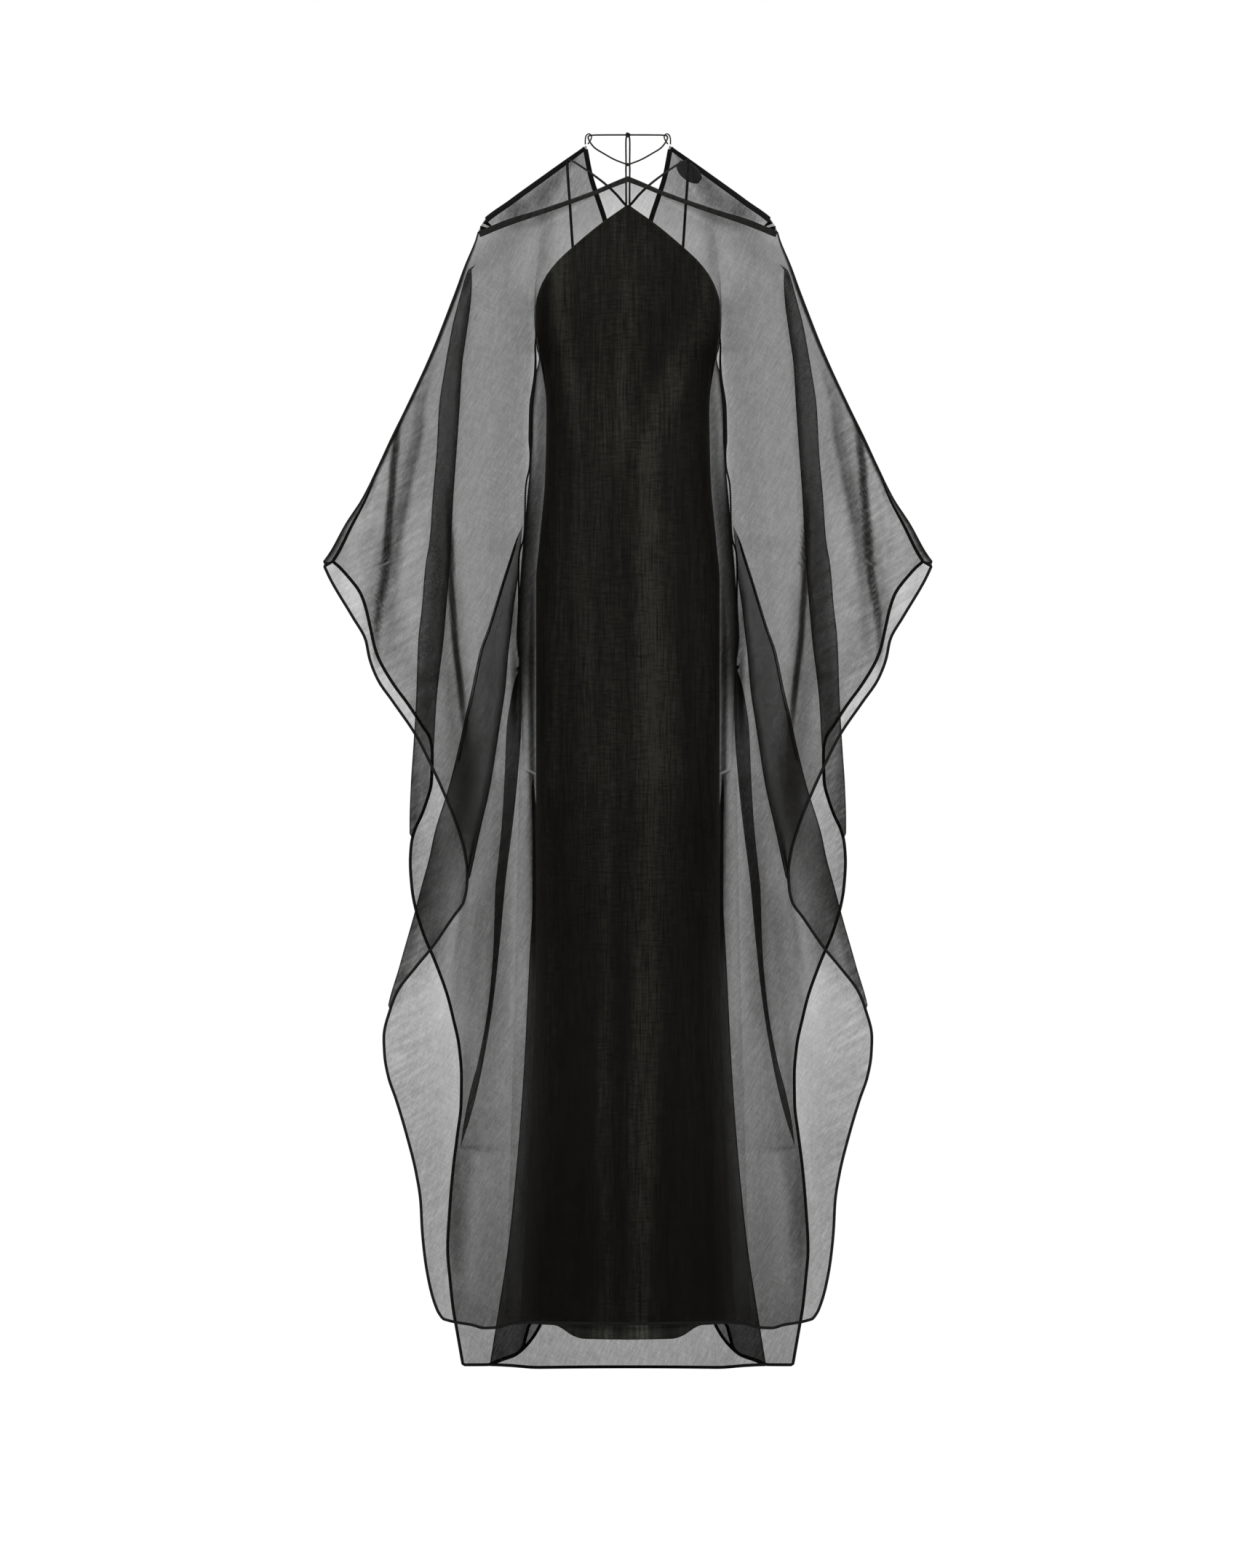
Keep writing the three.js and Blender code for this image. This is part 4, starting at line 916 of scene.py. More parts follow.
# %% The crinkle group
def group_socket(tree, name, into, kind="NodeSocketFloat", value=None):
    made = tree.interface.new_socket(name, in_out=into, socket_type=kind)
    if value is not None:
        made.default_value = value


crinkle = bpy.data.node_groups.new("crinkle", "ShaderNodeTree")
for name, value in {"Threads per metre": 300.0, "Stretch": 12.0, "Turn": 0.0}.items():
    group_socket(crinkle, name, "INPUT", value=value)
group_socket(crinkle, "Pattern", "OUTPUT")
inside = node(crinkle, "NodeGroupInput").outputs
place = node(crinkle, "ShaderNodeTexCoord").outputs["Object"]
turned = node(crinkle, "ShaderNodeVectorRotate", {"Vector": place, "Angle": inside["Turn"]},
              rotation_type="Y_AXIS").outputs[0]
split = node(crinkle, "ShaderNodeSeparateXYZ", {0: turned}).outputs
along = math_node(crinkle, "DIVIDE", inside["Threads per metre"], inside["Stretch"])
where = node(crinkle, "ShaderNodeCombineXYZ", {
    "X": math_node(crinkle, "MULTIPLY", split["X"], inside["Threads per metre"]),
    "Y": math_node(crinkle, "MULTIPLY", split["Y"], along),
    "Z": math_node(crinkle, "MULTIPLY", split["Z"], along),
}).outputs[0]
grain = node(crinkle, "ShaderNodeTexNoise",
             {"Vector": where, "Scale": 1.0, "Detail": 3.0, "Roughness": 0.6})
node(crinkle, "NodeGroupOutput", {"Pattern": grain.outputs[0]})
print("crinkle group:", len(crinkle.nodes), "nodes")


def crinkled(tree, threads, stretch, turn=0.0):
    made = node(tree, "ShaderNodeGroup", node_tree=crinkle)
    for name, value in {"Threads per metre": threads, "Stretch": stretch, "Turn": turn}.items():
        made.inputs[name].default_value = value
    return made.outputs["Pattern"]


NOISE_LOW, NOISE_HIGH = 0.3, 0.7  # nearly all of the noise lies between these


def spread(tree, value, low, high):
    """Turns a noise that stays near a half into one from low to high."""
    sizes = {"From Min": NOISE_LOW, "From Max": NOISE_HIGH, "To Min": low, "To Max": high}
    return node(tree, "ShaderNodeMapRange", {"Value": value, **sizes}).outputs[0]


def new_material(name, roughness, specular):
    made = bpy.data.materials.new(name)
    made.use_nodes = True
    tree = made.node_tree
    shader = next(n for n in tree.nodes if n.type == "BSDF_PRINCIPLED")
    shader.inputs["Roughness"].default_value = roughness
    shader.inputs["Specular IOR Level"].default_value = specular
    return made, tree, shader


def two_tones(tree, value, dark, light):
    made = node(tree, "ShaderNodeMix", {0: value, 6: (*dark, 1), 7: (*light, 1)}, data_type="RGBA")
    return made.outputs[2]


def bump_of(tree, height, distance, strength=1.0):
    sizes = {"Height": height, "Distance": distance, "Strength": strength}
    return node(tree, "ShaderNodeBump", sizes).outputs[0]


# %% [markdown]
# ### Sheer organza
# What shows through a thin weave falls off with the length of the way through it, so a sheet seen
# at a slant is darker. The share that passes is exp(-thickness / slant), where the slant comes
# from Layer Weight. That rule gives the dark lines along folds and round the arms, together with
# the painted shade carried by closeness_and_shade.

# %% Organza
THICKNESS = 0.66  # one layer seen straight on lets through exp(-0.66), about half
TAPE_LAYERS_THICKNESS = 3.2  # a folded tape, which lets through next to nothing
LEAST_SLANT = 0.16  # a fold seen edge on is no darker than this allows
CRINKLE_BUMP, SLUB_BUMP = 0.4 * MM, 0.3 * MM
WEAVE = [  # threads per metre, stretch, turn in degrees, how much each changes the thickness
    (420, 10, 0, 0.06), (460, 8, -28, 0.14), (420, 6, 62, 0.08), (60, 3, 12, 0.025),
]
RIPPLE = (170, 7, -58, 0.2)  # the coarser crinkle of the sleeves, as above
RIPPLE_START, RIPPLE_FULL = 0.23, 0.29  # reach over which it comes in, in metres


def weave(tree, threads, stretch, degrees, strength):
    """A pattern of the crinkle, as it is and spread to both sides of nothing."""
    pattern = crinkled(tree, threads, stretch, math.radians(degrees))
    return pattern, spread(tree, pattern, -strength, strength)


def sheer_material(name, thickness, dark, light, reads_closeness_and_shade):
    made, tree, shader = new_material(name, roughness=0.75, specular=0.03)
    patterns, parts = zip(*[weave(tree, *row) for row in WEAVE])
    total = parts[0]
    for part in parts[1:]:
        total = math_node(tree, "ADD", total, part)
    if reads_closeness_and_shade:
        place = node(tree, "ShaderNodeTexCoord").outputs["Object"]
        x = node(tree, "ShaderNodeSeparateXYZ", {0: place}).outputs["X"]
        sizes = {"From Min": RIPPLE_START, "From Max": RIPPLE_FULL}
        sleeve = node(tree, "ShaderNodeMapRange",
                      {"Value": math_node(tree, "ABSOLUTE", x), **sizes}).outputs[0]
        ripple = math_node(tree, "MULTIPLY", weave(tree, *RIPPLE)[1], sleeve)
        total = math_node(tree, "ADD", total, ripple)
    depth = math_node(tree, "MULTIPLY", math_node(tree, "ADD", total, 1.0), thickness)
    if reads_closeness_and_shade:
        # closeness_and_shade makes the cloth darker: partly tighter threads, partly painted shade and
        # light
        drawn = node(tree, "ShaderNodeAttribute", attribute_name="closeness_and_shade").outputs["Fac"]
        depth = math_node(tree, "MULTIPLY", depth, drawn)
    facing = node(tree, "ShaderNodeLayerWeight", {"Blend": 0.5}).outputs["Facing"]
    slant = math_node(tree, "MAXIMUM", math_node(tree, "SUBTRACT", 1.0, facing), LEAST_SLANT)
    way = math_node(tree, "MULTIPLY", math_node(tree, "DIVIDE", depth, slant), -1.0)
    alpha = math_node(tree, "SUBTRACT", 1.0, math_node(tree, "EXPONENT", way))
    tree.links.new(alpha, shader.inputs["Alpha"])
    streaks, bias = patterns[:2]
    tone = two_tones(tree, spread(tree, bias, 0.0, 1.0), dark, light)
    tree.links.new(tone, shader.inputs["Base Color"])
    tree.links.new(bump_of(tree, streaks, CRINKLE_BUMP), shader.inputs["Normal"])
    return made


organza = sheer_material("sheer organza", THICKNESS,
                         (0.0018, 0.0016, 0.0014), (0.006, 0.005, 0.0037), True)
organza_tape = sheer_material("folded organza", TAPE_LAYERS_THICKNESS,
                              (0.008, 0.008, 0.008), (0.02, 0.02, 0.019), False)
print("sheer materials:", organza.name, "and", organza_tape.name)

# %% [markdown]
# ### Slip silk, tapes, cord and thread
# The slip is a slubby silk: fine upright threads of uneven thickness, with a painted olive sheen in
# broad upright bands. The tapes are the same organza folded until it is solid, with a fine rib.


# %% Opaque cloths
def slip_material():
    made, tree, shader = new_material("slip silk", roughness=0.6, specular=0.12)
    slub = crinkled(tree, threads=460, stretch=20)
    weft = crinkled(tree, threads=420, stretch=7, turn=math.radians(90))
    band = crinkled(tree, threads=60, stretch=14)
    # Painted sheen: the colour goes from black to light olive along the painted_sheen bands and broad
    # noise bands
    painted_shine = node(tree, "ShaderNodeAttribute", attribute_name="painted_sheen").outputs["Fac"]
    painted_shine = math_node(tree, "MULTIPLY", painted_shine, spread(tree, band, 0.65, 1.35))
    painted_shine = math_node(tree, "ADD", painted_shine, spread(tree, band, 0.0, 0.12))
    threads = math_node(tree, "MULTIPLY", spread(tree, slub, 0.2, 1.6), spread(tree, weft, 0.5, 1.5))
    lit = node(tree, "ShaderNodeClamp", {0: math_node(tree, "MULTIPLY", painted_shine, threads)}).outputs[0]
    # the light olive is the colour of the painted sheen
    tone = two_tones(tree, lit, (0.0030, 0.0030, 0.0028), (0.085, 0.084, 0.066))
    tree.links.new(tone, shader.inputs["Base Color"])
    height = math_node(tree, "ADD", slub, math_node(tree, "MULTIPLY", weft, 0.4))
    tree.links.new(bump_of(tree, height, SLUB_BUMP, strength=0.3), shader.inputs["Normal"])
    return made


def plain_cloth(name, dark, light, threads, stretch, turn, roughness=0.75, specular=0.12):
    made, tree, shader = new_material(name, roughness, specular)
    rib = crinkled(tree, threads, stretch, turn)
    tree.links.new(two_tones(tree, spread(tree, rib, 0, 1), dark, light), shader.inputs["Base Color"])
    tree.links.new(bump_of(tree, rib, CRINKLE_BUMP, strength=0.7), shader.inputs["Normal"])
    return made


silk = slip_material()
black_tape = plain_cloth("black tape", (0.002, 0.002, 0.002), (0.007, 0.007, 0.007), 900, 5, 0.6)
hem_cloth = plain_cloth("rolled organza", (0.002, 0.002, 0.002), (0.008, 0.008, 0.0075), 1200, 4, 0.9)
cord_cloth = plain_cloth("rouleau cord", (0.005, 0.005, 0.004), (0.018, 0.017, 0.014), 1500, 4, 0.8)
thread = plain_cloth("sewing thread", (0.006, 0.006, 0.006), (0.02, 0.02, 0.019), 3000, 3, 0.5)
label_cloth = plain_cloth("label satin", (0.012, 0.012, 0.012), (0.035, 0.035, 0.035),
                          2500, 6, 1.57, roughness=0.5, specular=0.3)
for piece, material in ((kaftan_front, organza), (kaftan_back, organza),
                        (slip_front, silk), (slip_back, silk)):
    piece.data.materials.append(material)
print("materials:", len(bpy.data.materials))

# %% [markdown]
# ## What follows a line: rolled hems, cords and stitches
# A rolled hem, a cord and a row of stitches all follow a path. Two Geometry Nodes trees make them:
# one sweeps a round section along the path, the other sets short stitches along it, one after
# another, each turned into the path's direction.


# %% The two trees
def new_tree(name, sockets):
    tree = bpy.data.node_groups.new(name, "GeometryNodeTree")
    tree.interface.new_socket("Geometry", in_out="INPUT", socket_type="NodeSocketGeometry")
    for socket, kind, value in sockets:
        group_socket(tree, socket, "INPUT", kind, value)
    tree.interface.new_socket("Geometry", in_out="OUTPUT", socket_type="NodeSocketGeometry")
    return tree, node(tree, "NodeGroupInput").outputs


def resampled(tree, inputs):
    curve = node(tree, "GeometryNodeMeshToCurve", {0: inputs["Geometry"]}).outputs[0]
    made = node(tree, "GeometryNodeResampleCurve", {"Curve": curve, "Length": inputs["Step"]},
                mode="LENGTH")
    return made.outputs[0]


def end_tree(tree, geometry, inputs):
    whole = node(tree, "GeometryNodeRealizeInstances", {0: geometry}).outputs[0]
    made = node(tree, "GeometryNodeSetMaterial", {"Geometry": whole, "Material": inputs["Material"]})
    node(tree, "NodeGroupOutput", {0: made.outputs[0]})


piping, inputs = new_tree("piping", [
    ("Radius", "NodeSocketFloat", 0.001), ("Step", "NodeSocketFloat", 0.004),
    ("Sides", "NodeSocketInt", 8), ("Material", "NodeSocketMaterial", None),
])
section = node(piping, "GeometryNodeCurvePrimitiveCircle",
               {"Resolution": inputs["Sides"], "Radius": inputs["Radius"]})
swept = node(piping, "GeometryNodeCurveToMesh",
             {"Curve": resampled(piping, inputs), "Profile Curve": section.outputs[0],
              "Fill Caps": True})
rounded = node(piping, "GeometryNodeSetShadeSmooth", {0: swept.outputs[0]})
end_tree(piping, rounded.outputs[0], inputs)

stitching, inputs = new_tree("stitching", [
    ("Step", "NodeSocketFloat", 0.003), ("Length", "NodeSocketFloat", 0.0011),
    ("Thickness", "NodeSocketFloat", 0.0003), ("Material", "NodeSocketMaterial", None),
])
tangent = node(stitching, "GeometryNodeInputTangent").outputs[0]
turned = node(stitching, "FunctionNodeAlignRotationToVector", {"Vector": tangent}, axis="X")
size = node(stitching, "ShaderNodeCombineXYZ", {"X": inputs["Length"], "Y": inputs["Thickness"],
                                               "Z": inputs["Thickness"]})
bead = node(stitching, "GeometryNodeMeshIcoSphere", {"Radius": 1.0, "Subdivisions": 1})
placed = node(stitching, "GeometryNodeInstanceOnPoints",
              {"Points": resampled(stitching, inputs), "Instance": bead.outputs[0],
               "Rotation": turned.outputs[0], "Scale": size.outputs[0]})
end_tree(stitching, placed.outputs[0], inputs)


def along_paths(name, tree, paths, **values):
    """A plain mesh made by a tree along one or more paths of points in metres."""
    mesh = bpy.data.meshes.new(name + "_path")
    points, edges = [], []
    for path in paths:
        start = len(points)
        points += [tuple(map(float, p)) for p in path]
        edges += [(i, i + 1) for i in range(start, len(points) - 1)]
    mesh.from_pydata(points, edges, [])
    made = new_object(name, mesh)
    modifier = made.modifiers.new(tree.name, "NODES")
    modifier.node_group = tree
    for item in tree.interface.items_tree:
        if item.item_type == "SOCKET" and item.in_out == "INPUT" and item.name in values:
            modifier[item.identifier] = values[item.name]
    bpy.context.view_layer.update()
    ready = made.evaluated_get(bpy.context.evaluated_depsgraph_get())
    made_mesh = bpy.data.meshes.new_from_object(ready)
    made.modifiers.clear()
    made.data = made_mesh
    bpy.data.meshes.remove(mesh)
    made_mesh.name = name
    print(f"{name}: {len(made_mesh.polygons)} faces along {len(paths)} paths")
    return made


# %% Hems and stitches
HEM_RADIUS = {"front": 1.9 * MM, "back": 2.1 * MM, "slip": 0.9 * MM}
HEM_STEP, SLIP_HEM_STEP = 4 * MM, 6 * MM
HEM_SIDES = 8
HEM_STITCHES = {"front": (-2.1, 1.2), "back": (2.3, 1.4)}  # depth and height from the edge
CLOSEST_POINTS = 0.5
STITCHES = {  # step from one to the next, half length and half thickness, in millimetres
    "hem": (3.4, 1.1, 0.3), "slip hem": (4.5, 1.3, 0.3), "gathering": (3.2, 1.2, 0.4),
    "label": (2.2, 0.8, 0.25),
}


def rolled(name, paths, radius, cloth, step, sides=HEM_SIDES):
    return along_paths(name, piping, paths, Radius=radius, Step=step, Sides=sides, Material=cloth)


def stitched(name, paths, kind):
    step, length, thickness = STITCHES[kind]
    return along_paths(name, stitching, paths, Step=step * MM, Length=length * MM,
                       Thickness=thickness * MM, Material=thread)


def moved(path, x=0.0, y=0.0, z=0.0):
    return path + np.array((x, y, z)) * MM


def edge_path(rows, first_drop):
    """The free edge below the wrist and the hem, from the left side round to the right one."""
    down = [row[-1] for row in rows if -row[-1][2] >= first_drop]
    half = np.array(down + list(rows[-1][::-1][1:]))
    steps = np.linalg.norm(np.diff(half, axis=0), axis=1)
    half = half[np.concatenate([[True], steps > CLOSEST_POINTS])]
    return np.concatenate([half * MIRROR, half[::-1][1:]]) * MM


hem_rolls, hem_stitches = {}, {}
for panel, rows in {"front": front_rows, "back": back_rows}.items():
    path = edge_path(rows, WRIST_DROP)
    depth, height = HEM_STITCHES[panel]
    hem_rolls[panel] = rolled(panel + "_rolled_hem", [path], HEM_RADIUS[panel], hem_cloth, HEM_STEP)
    beside = moved(path, y=depth, z=height)
    hem_stitches[panel] = stitched(panel + "_hem_stitches", [beside], "hem")

# %% [markdown]
# ## Sewing on the slip
# The slip's two halves are joined by a plain seam down each side, and its hem is turned up and
# caught with small stitches. The seam is a thin ridge, the hem a line of stitches above the edge
# with the folded edge itself as a slightly thicker roll.

# %% Slip seams and hem
SLIP_STITCH_HEIGHT = 14  # from the lower edge to the stitches
SLIP_STITCH_OUT = 0.6  # so that they lie on the cloth
SLIP_FOLD_HEIGHT = 0.4
SLIP_SEAM_RADIUS = 0.8 * MM


def slip_hem_paths(lift, out):
    """Lines along the slip's lower edge, in front and behind."""
    found = []
    for rows, side in ((slip_front_rows, -1), (slip_back_rows, 1)):
        half = np.array(rows[-1]) + (0, side * out, lift)
        found.append(np.concatenate([half[::-1] * MIRROR, half[1:]]) * MM)
    return found


slip_hem_roll = rolled("slip_hem_fold", slip_hem_paths(SLIP_FOLD_HEIGHT, 0), HEM_RADIUS["slip"],
                       silk, SLIP_HEM_STEP)
slip_stitches = stitched("slip_hem_stitches",
                         slip_hem_paths(SLIP_STITCH_HEIGHT, SLIP_STITCH_OUT), "slip hem")
slip_side = np.array([row[-1] for row in slip_back_rows]) * MM
slip_side_seams = rolled("slip_side_seams", [slip_side, slip_side * MIRROR], SLIP_SEAM_RADIUS,
                         silk, SLIP_HEM_STEP)

# %% [markdown]
# ## Tapes
# The neckline, the top edges and the V opening are bound with narrow tapes folded over the raw
# edge, so each tape is centred on the cloth and shows on both faces. A tape is a flat oval
# section carried along a line of centres, with a direction across it at each one. To find where
# the cloth lies, a line along the depth is cast at the finished panel.

# %% Making a tape
TAPE_SIDES = 14
TAPE_FLATNESS = 0.6  # 1 for an oval section, less for one with squarer edges


def ribbon(name, centres, across, width, thickness, material):
    """A tape with rounded edges, in millimetres. width may change along it."""
    centres, across = np.array(centres, float), np.array(across, float)
    along = np.gradient(centres, axis=0)
    along /= np.linalg.norm(along, axis=1)[:, None]
    across -= along * np.sum(across * along, axis=1)[:, None]
    across /= np.linalg.norm(across, axis=1)[:, None]
    out = np.cross(along, across)
    turn = np.linspace(0, 2 * math.pi, TAPE_SIDES, endpoint=False)
    flat = np.sign(np.cos(turn)) * np.abs(np.cos(turn)) ** TAPE_FLATNESS / 2
    half_widths = np.broadcast_to(width, len(centres))[:, None] * flat[None]
    rings = centres[:, None] + across[:, None] * half_widths[..., None]
    rings += out[:, None] * (np.sin(turn) * thickness / 2)[None, :, None]
    count = len(centres)
    faces = []
    for i in range(count - 1):
        for j in range(TAPE_SIDES):
            k = (j + 1) % TAPE_SIDES
            a, b = i * TAPE_SIDES, (i + 1) * TAPE_SIDES
            faces.append((a + j, a + k, b + k, b + j))
    faces.append(tuple(range(TAPE_SIDES)))
    faces.append(tuple(range((count - 1) * TAPE_SIDES, count * TAPE_SIDES)))
    mesh = bpy.data.meshes.new(name)
    mesh.from_pydata((rings.reshape(-1, 3) * MM).tolist(), [], faces)
    shape = bmesh.new()
    shape.from_mesh(mesh)
    bmesh.ops.recalc_face_normals(shape, faces=shape.faces)
    for face in shape.faces:
        face.smooth = len(face.verts) == 4
    shape.to_mesh(mesh)
    shape.free()
    mesh.materials.append(material)
    print(f"{name}: {len(mesh.polygons)} faces")
    return new_object(name, mesh)


def surface_of(panel):
    shape = bmesh.new()
    shape.from_mesh(panel.data)
    found = BVHTree.FromBMesh(shape)
    shape.free()
    return found


NEAR_PANEL = 0.05  # depth in metres from which the nearest point is looked for beside an edge


def on_panel(surface, side, reach, drop):
    """Where a line along depth meets a panel, from the front for -1 and from behind for 1."""
    start = Vector((reach * MM, side, -drop * MM))
    hit = surface.ray_cast(start, Vector((0, -side, 0)))[0]
    if hit is None:
        hit = surface.find_nearest(Vector((start.x, side * NEAR_PANEL, start.z)))[0]
    return np.array(hit) / MM


def edge_tape(name, surface, side, edges, width, thickness, material):
    """A tape over an edge. Each of edges is a pair of (reach, drop), on the edge and inside it."""
    outer = np.array([on_panel(surface, side, *edge) for edge, _ in edges])
    inner = np.array([on_panel(surface, side, *inside) for _, inside in edges])
    return ribbon(name, (outer + inner) / 2, outer - inner, width, thickness, material)


front_surface, back_surface = surface_of(kaftan_front), surface_of(kaftan_back)

# %% Bindings
NECK_BINDING, TOP_BINDING, OPENING_BINDING = 8.5, 7.5, 6.5  # widths
BINDING_THICKNESS = 2.0
EDGE_INSET = 0.5
OVERHANG = 1.0  # how far the back's bindings stand past the cloth's edge
TOP_TAPE = (BACK_CORNER_REACH + 1, SHOULDER_REACH - 1.5)  # the reach of its two ends
OPENING_TAPE = (5, OPENING_END - 4)  # the drop of its two ends
NECK_POINTS, TOP_POINTS, OPENING_POINTS = 121, 50, 60  # along each tape
SIDES = {"left": -1, "right": 1}


def back_top_drop(reach):
    return np.interp(reach, back_top.reach(FINE), FINE)


def inner_edge(width, overhang=0):
    return width - 2 * (EDGE_INSET + overhang)


def below(reach, drop, width):
    return (reach, drop + EDGE_INSET), (reach, drop + width)


neck_width = inner_edge(NECK_BINDING)
neck_edges = [below(x, neckline_drop(abs(x)), neck_width)
              for x in np.linspace(-SHOULDER_REACH, SHOULDER_REACH, NECK_POINTS)]
front_neck_binding = edge_tape("neckline_binding", front_surface, -1, neck_edges,
                               NECK_BINDING, BINDING_THICKNESS, organza_tape)
top_bindings, opening_bindings = {}, {}
for name, side in SIDES.items():
    width = inner_edge(TOP_BINDING, OVERHANG)
    edges = [below(side * x, back_top_drop(x), width) for x in np.linspace(*TOP_TAPE, TOP_POINTS)]
    top_bindings[name] = edge_tape("back_top_tape_" + name, back_surface, 1, edges,
                                   TOP_BINDING, BINDING_THICKNESS, black_tape)
    edges = []
    for drop in np.linspace(*OPENING_TAPE, OPENING_POINTS):
        start = float(back_opening.reach(drop)) + EDGE_INSET
        inside = start + inner_edge(OPENING_BINDING, OVERHANG)
        edges.append(((side * start, drop), (side * inside, drop)))
    opening_bindings[name] = edge_tape("back_opening_tape_" + name, back_surface, 1, edges,
                                       OPENING_BINDING, BINDING_THICKNESS, black_tape)

# %% [markdown]
# ### Overarm seams, straps and the gathering beside the body
# The overarm seam is a narrow felled seam that runs from the shoulder to the wrist. The slip's
# straps are flat tapes that cross at the throat and go over the shoulders. Below the arms the
# front is caught to the back by a few rows of gathering, which pull both layers into a thick black
# line.

# %% Overarm seams and straps
SEAM_WIDTH, SEAM_THICKNESS = 5.0, 1.8
SEAM_ENDS = (SHOULDER_DROP + 1, WRIST_DROP - 1)
SEAM_POINTS = 92
STRAP_WIDTH, STRAP_THICKNESS = 3.6, 1.1
SMALL_TURN = 0.01  # a step round the arm, to find the direction across the seam
SIDEWAYS = (1.0, 0.0, 0.0)
strap_route = [
    (-3, -73.4, -87.4), (1.4, -72.6, -81.6), (5.4, -70.6, -77.4), (15, -64, -66), (28.5, -55, -53),
    (46, -40, -39), (62, -24, -27.5), (73, -11, -20.5), (78, -1, -19.5), (79, 6, -25), (78, 17, -45),
    (76, 34, -73), (72, 55, -133), (67, 64, -190), (65, 67.2, -238),
]


def smooth_path(route, steps=10):
    """Points along a centripetal Catmull-Rom curve through a route."""
    route = np.array(route, float)
    ends = [2 * route[0] - route[1], *route, 2 * route[-1] - route[-2]]
    found = []
    for p0, p1, p2, p3 in zip(ends, ends[1:], ends[2:], ends[3:]):
        t1 = np.linalg.norm(p1 - p0) ** 0.5
        t2 = t1 + np.linalg.norm(p2 - p1) ** 0.5
        t3 = t2 + np.linalg.norm(p3 - p2) ** 0.5
        for t in np.linspace(t1, t2, steps, endpoint=False):
            here = (t - t1) / (t2 - t1)
            a1, a2 = mix(p0, p1, t / t1), mix(p1, p2, here)
            a3 = mix(p2, p3, (t - t2) / (t3 - t2))
            b1, b2 = mix(a1, a2, t / t2), mix(a2, a3, (t - t1) / (t3 - t1))
            found.append(mix(b1, b2, here))
    found.append(route[-1])
    return np.array(found)


seam_centres, seam_across = [], []
for drop in np.linspace(*SEAM_ENDS, SEAM_POINTS):
    turn = seam_turn(drop)
    here = np.array([*arm_point(drop, turn), -drop])
    there = np.array([*arm_point(drop, turn + SMALL_TURN), -drop])
    seam_centres.append(here)
    seam_across.append(there - here)
strap_path = smooth_path(strap_route)
seams, straps = {}, {}
for name, side in SIDES.items():
    flip = np.array((side, 1, 1))
    seams[name] = ribbon("overarm_felled_seam_" + name, seam_centres * flip, seam_across * flip,
                         SEAM_WIDTH, SEAM_THICKNESS, organza_tape)
    straps[name] = ribbon("strap_tape_" + name, strap_path * flip, [SIDEWAYS] * len(strap_path),
                          STRAP_WIDTH, STRAP_THICKNESS, organza_tape)

# %% Gathering beside the body
GATHER_THICKNESS = 3.0
GATHER_FACES = (-GATHER_THICKNESS / 2, GATHER_THICKNESS / 2)
gather_line = [  # as (reach, drop)
    (119, 240), (121, 262), (120.5, 280), (121.6, 304), (126, 337), (127, 373), (128, 418),
    (133, 443), (136, 513), (141.5, 532), (142.5, 599), (144.4, 646), (142.5, 668),
]
gathering = table("drop width", [
    (240, 1.2), (270, 2.4), (345, 5.2), (385, 5.6), (402, 3.0), (450, 2.0), (560, 2.2), (668, 1.0),
])
gathers, gather_stitches = {}, {}
for name, side in SIDES.items():
    path = smooth_path([(side * reach, 0, -drop) for reach, drop in gather_line])
    gathers[name] = ribbon("side_gathering_" + name, path, [SIDEWAYS] * len(path),
                           gathering.width(-path[:, 2]), GATHER_THICKNESS, hem_cloth)
    rows = [moved(path * MM, x=shift, y=depth) for shift in (-1, 1) for depth in GATHER_FACES]
    gather_stitches[name] = stitched("side_stitches_" + name, rows, "gathering")

# %% [markdown]
# ## Cords, loops and knots
# The cords are rouleaux: bias strips of the same silk sewn into thin round tubes. Their routes are
# given points, with a smooth curve through them, and the piping tree gives them their body.
# A knot is a short length of cord that winds through itself, so it is made as one.

# %% Cord routes
CORD_STEP = 1.5 * MM
CORD_SIDES = 10
CORDS = {  # radius, and the route on the right side
    "neck_rouleau": (1.1, [
        (0.6, 49.8, 15.5), (4, 49.6, 15.5), (18, 47, 15.4), (34, 38, 15), (46, 23, 14.2),
        (51.5, 6, 12), (50, -16, 5), (43, -34, -4.5), (31, -47, -12.5), (17, -55, -20.5),
        (2.45, -59.5, -26.3), (0.4, -60, -27),
    ]),
    "front_rouleau": (1.1, [
        (1.6, -60, -27.6), (2.4, -59.6, -29.4), (2.4, -59.2, -42), (2.3, -63, -60), (2, -70.5, -78.6),
    ]),
    "back_rouleau": (1.1, [
        (1.4, 50.4, 14), (2.2, 51.2, 11.6), (2.4, 57, -20), (2.4, 69, -70), (2.4, 82, -140),
        (2.4, 93.6, -219),
    ]),
    "corner_rouleau": (0.9, [
        (55.6, 14, 2), (55.6, 11.5, 8), (54.4, 9.4, 13.2), (51, 8.4, 15.6), (47.6, 9, 13),
        (48.4, 11.5, 8), (52.2, 13.8, 2.2),
    ]),
}
cords = {}
for kind, (radius, route) in CORDS.items():
    for name, side in SIDES.items():
        path = smooth_path(np.array(route) * (side, 1, 1)) * MM
        cords[kind, name] = rolled(f"{kind}_{name}", [path], radius * MM, cord_cloth, CORD_STEP,
                                   CORD_SIDES)


# %% Knots
KNOTS = {  # centre, size of the winding, radius of the cord, step along it
    "nape": ((0, 50, 15.5), 0.85, 1.1 * MM, 0.6 * MM),
    "throat": ((0, -60, -27), 0.5, 0.9 * MM, 0.5 * MM),
}
KNOT_DEPTH = 1.3  # how much deeper than wide the winding is
KNOT_POINTS = 121


